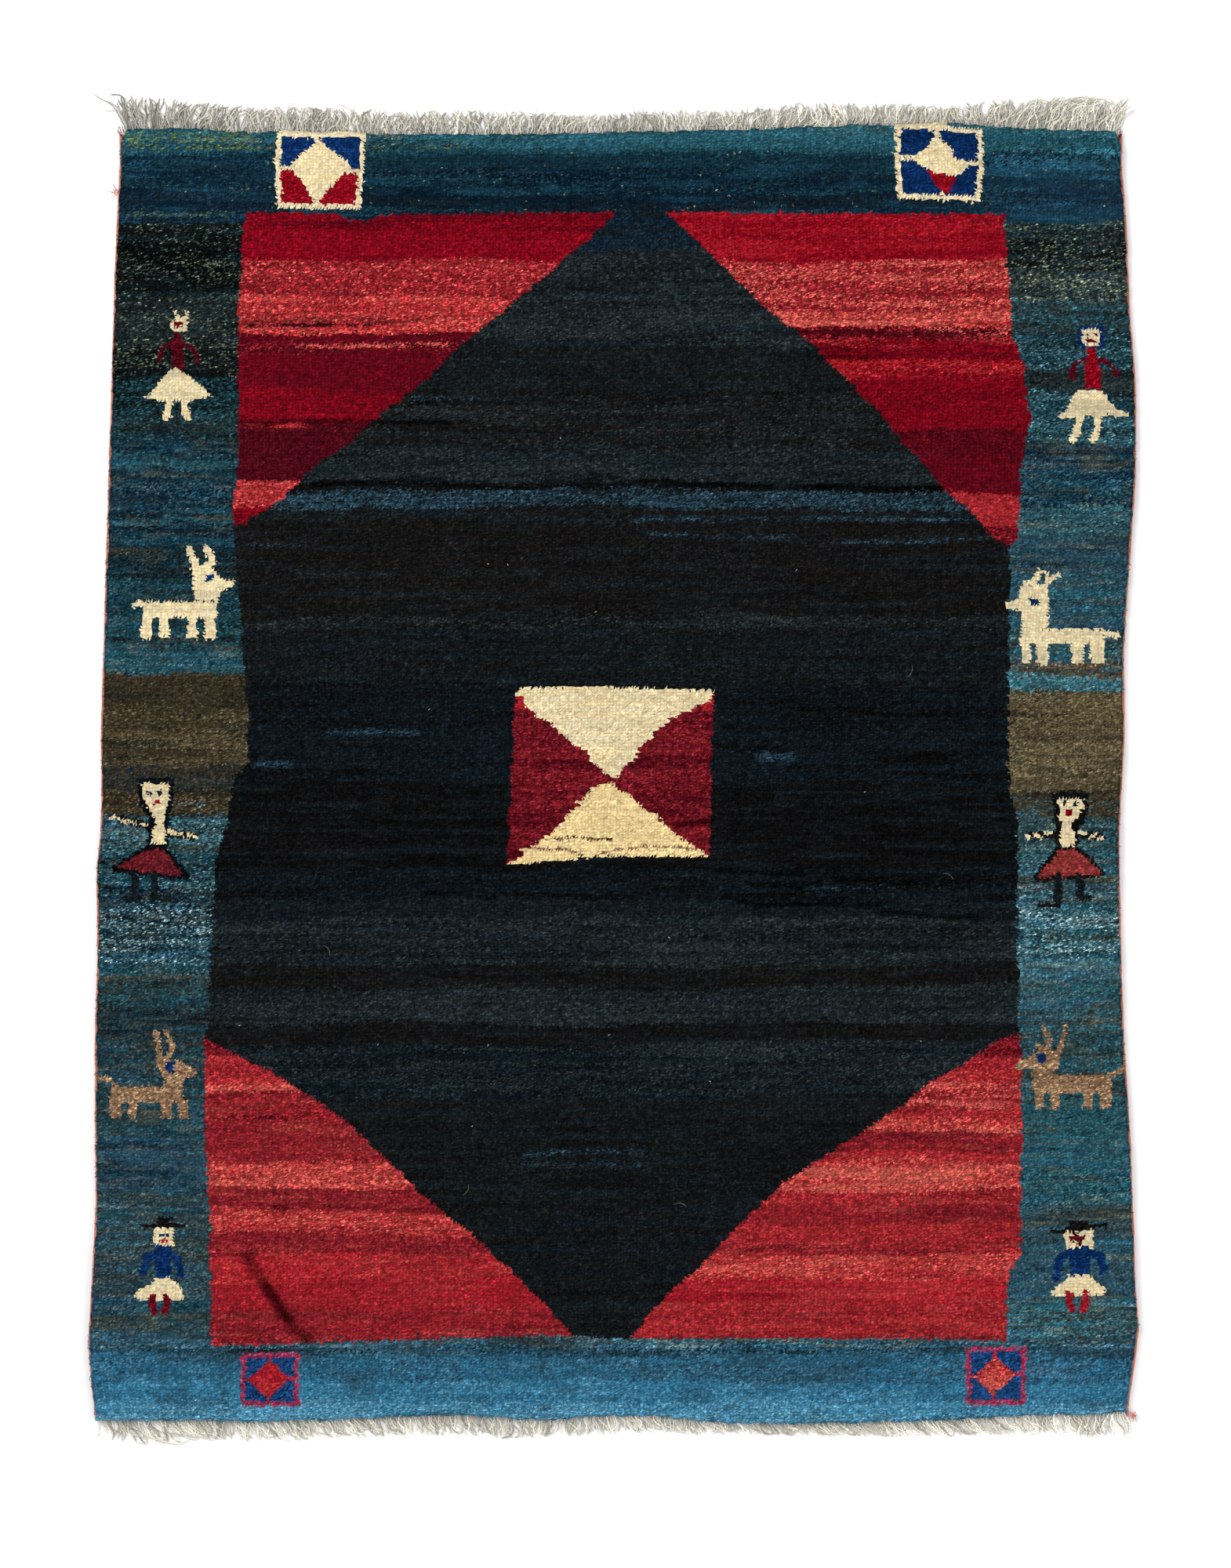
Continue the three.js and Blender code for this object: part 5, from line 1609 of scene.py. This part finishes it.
def buildLooseWool():
    turn = chance(looseWool["seed"])
    lines = []
    thickness = []
    colours = []

    def lay(points, width, colour):
        lines.append(np.array(points))
        thickness.append(np.linspace(width, width * 0.6, len(points)))
        colours.append(colour)

    for k in range(looseWool["edgeTufts"]):
        place = turn.uniform(0.004, 0.996)
        side = k % 4  # left, right, foot, left again
        j = int(place * tuftCount[0])
        i = int(place * tuftCount[1])
        reach = looseWool["reach"] * mm * turn.uniform(0.4, 1.5)
        fall = turn.uniform(-0.5, 0.1)
        if side == 2:
            x, y = rugPlan(place, 0.0)
            out = np.array([turn.normal() * 0.4, -1, fall])
            colour = main[0, i]
        else:
            x, y = rugPlan(1.0 if side == 1 else 0.0, place)
            out = np.array([1 if side == 1 else -1, turn.normal() * 0.6 - 0.3, fall])
            colour = main[j, -1 if side == 1 else 0]
        start = np.array([float(x), float(y), float(pileTop(x, y)) - turn.uniform(2, 6.5) * mm])
        bend = turn.normal(size=3) * 0.5 * mm
        lay([start - out * mm, start + out * reach * 0.55 + bend, start + out * reach + (0, 0, -0.8 * mm)],
            turn.uniform(0.7, 1.2), colour * turn.uniform(0.8, 1.5))
    for px, py in lint:
        x, y = fromPhoto(px, py)
        z = float(pileTop(x, y)) + 0.9 * mm
        heading = turn.uniform(0, math.pi)
        half = np.array([math.cos(heading), math.sin(heading), 0.1]) * 1.2 * mm
        lay([(x, y, z) - half, (x, y, z + 0.3 * mm), (x, y, z) + half], 0.6, wools["naturalWool"])
    for px, py in hairs:
        x, y = fromPhoto(px, py)
        heading = turn.uniform(0, math.pi)
        share = np.linspace(-1, 1, 9)
        along = share * 7 * mm
        bow = 2.5 * mm * share ** 2
        px = x + along * math.cos(heading) - bow * math.sin(heading)
        py = y + along * math.sin(heading) + bow * math.cos(heading)
        lay(np.stack([px, py, pileTop(px, py) + 1.0 * mm], -1), 0.25, wools["rawShade"] * 0.8)
    stray = np.array([fromPhoto(px, py) for px, py in ((1425, 155), (1429, 150), (1437, 145), (1446, 139))])
    for k in range(3):
        up = [4 * mm, 4.4 * mm, 3.6 * mm, 2 * mm]
        lay(np.column_stack([stray + turn.normal(size=2) * mm, up]), 0.75, wools["naturalWool"])
    for wool, x, y, lean, length, count in cornerEnds:
        x, y = x * photoPixel * mm, y * photoPixel * mm
        for k in range(count):
            share = np.linspace(0, 1, 6)
            heading = math.atan(lean) + turn.normal() * 0.35
            reach = length * mm * turn.uniform(0.5, 1.1)
            away = math.copysign(1, y)
            px = x + turn.normal() * 2.5 * mm + reach * share * math.sin(heading)
            py = y + away * reach * share * math.cos(heading) + turn.normal() * 1.5 * mm
            pz = (6 - 3 * share + 1.2 * np.sin(4 * share + k)) * mm
            lay(np.stack([px, py, pz], -1), 0.8, wools[wool] * turn.uniform(0.8, 1.3))
    mesh = linesMesh("loose_wool", lines, thickness, colours)
    piece = grown("loose_wool", mesh, looseTree, yarnValues(looseWool["step"], 1, looseWool["plyRadius"], 3))
    layYarnMap(piece.data)
    return piece


looseTree = yarnTree("loose wool", yarnMaterial("loose wool", 1.0))
loosePiece = buildLooseWool()
print("loose wool laid,", len(loosePiece.data.polygons), "faces")


# Floor, light and camera

def buildSet():
    floorMesh = plainMesh("floor", [(-6, -6, 0), (6, -6, 0), (6, 6, 0), (-6, 6, 0)], [[(0, 1, 2, 3)]])
    floor = newObject("floor", floorMesh)
    floor.location.z = -0.3 * mm
    material, net, shader = newMaterial("pale floor", 0.9, 0)
    shader.inputs["Base Color"].default_value = (0.93, 0.93, 0.93, 1)
    floorMesh.materials.append(material)
    for name, place, size, power in (
        ("key", (-1.9, 1.6, 3.0), 1.6, 92),
        ("fill", (2.2, -1.4, 2.8), 2.4, 40),
    ):
        lamp = bpy.data.lights.new(name, "AREA")
        lamp.size = size
        lamp.energy = power
        thing = bpy.data.objects.new(name, lamp)
        scene.collection.objects.link(thing)
        thing.location = place
        thing.rotation_mode = "QUATERNION"
        thing.rotation_quaternion = (-thing.location).to_track_quat("-Z", "Y")
    world = bpy.data.worlds.new("studio")
    world.use_nodes = True
    world.node_tree.nodes["Background"].inputs["Color"].default_value = (1, 1, 1, 1)
    world.node_tree.nodes["Background"].inputs["Strength"].default_value = 0.62
    scene.world = world
    scene.view_settings.view_transform = "Standard"


def buildCamera():
    picture = {"height": 1.85, "distance": 4.2, "middle": (2.8 * mm, -19.4 * mm)}
    camera = bpy.data.cameras.new("camera")
    camera.sensor_width = 36
    camera.lens = camera.sensor_width * picture["distance"] / picture["height"]
    thing = bpy.data.objects.new("camera", camera)
    scene.collection.objects.link(thing)
    thing.location = (*picture["middle"], picture["distance"])
    scene.camera = thing


buildSet()
buildCamera()


# How the pieces ride and what they stand for

dressing = [
    ("knotted_rug", "pile_wool", [groundCloth, *pilePieces, loosePiece]),
    ("fringe_head", "warp_wool", [fringeHead, twiningHead]),
    ("fringe_foot", "warp_wool", [fringeFoot, twiningFoot]),
    ("side_cord_left", "side_cord_wool", [cordLeft, cordLeftCore]),
    ("side_cord_right", "side_cord_wool", [cordRight, cordRightCore]),
]
for node, slot, pieces in dressing:
    for piece in pieces:
        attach(piece, body)
        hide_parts(node)
everyPiece = [piece for node, slot, pieces in dressing for piece in pieces]

counts = {piece.name: len(piece.data.loops) - 2 * len(piece.data.polygons) for piece in everyPiece}
print("triangles", counts, "in all", sum(counts.values()))
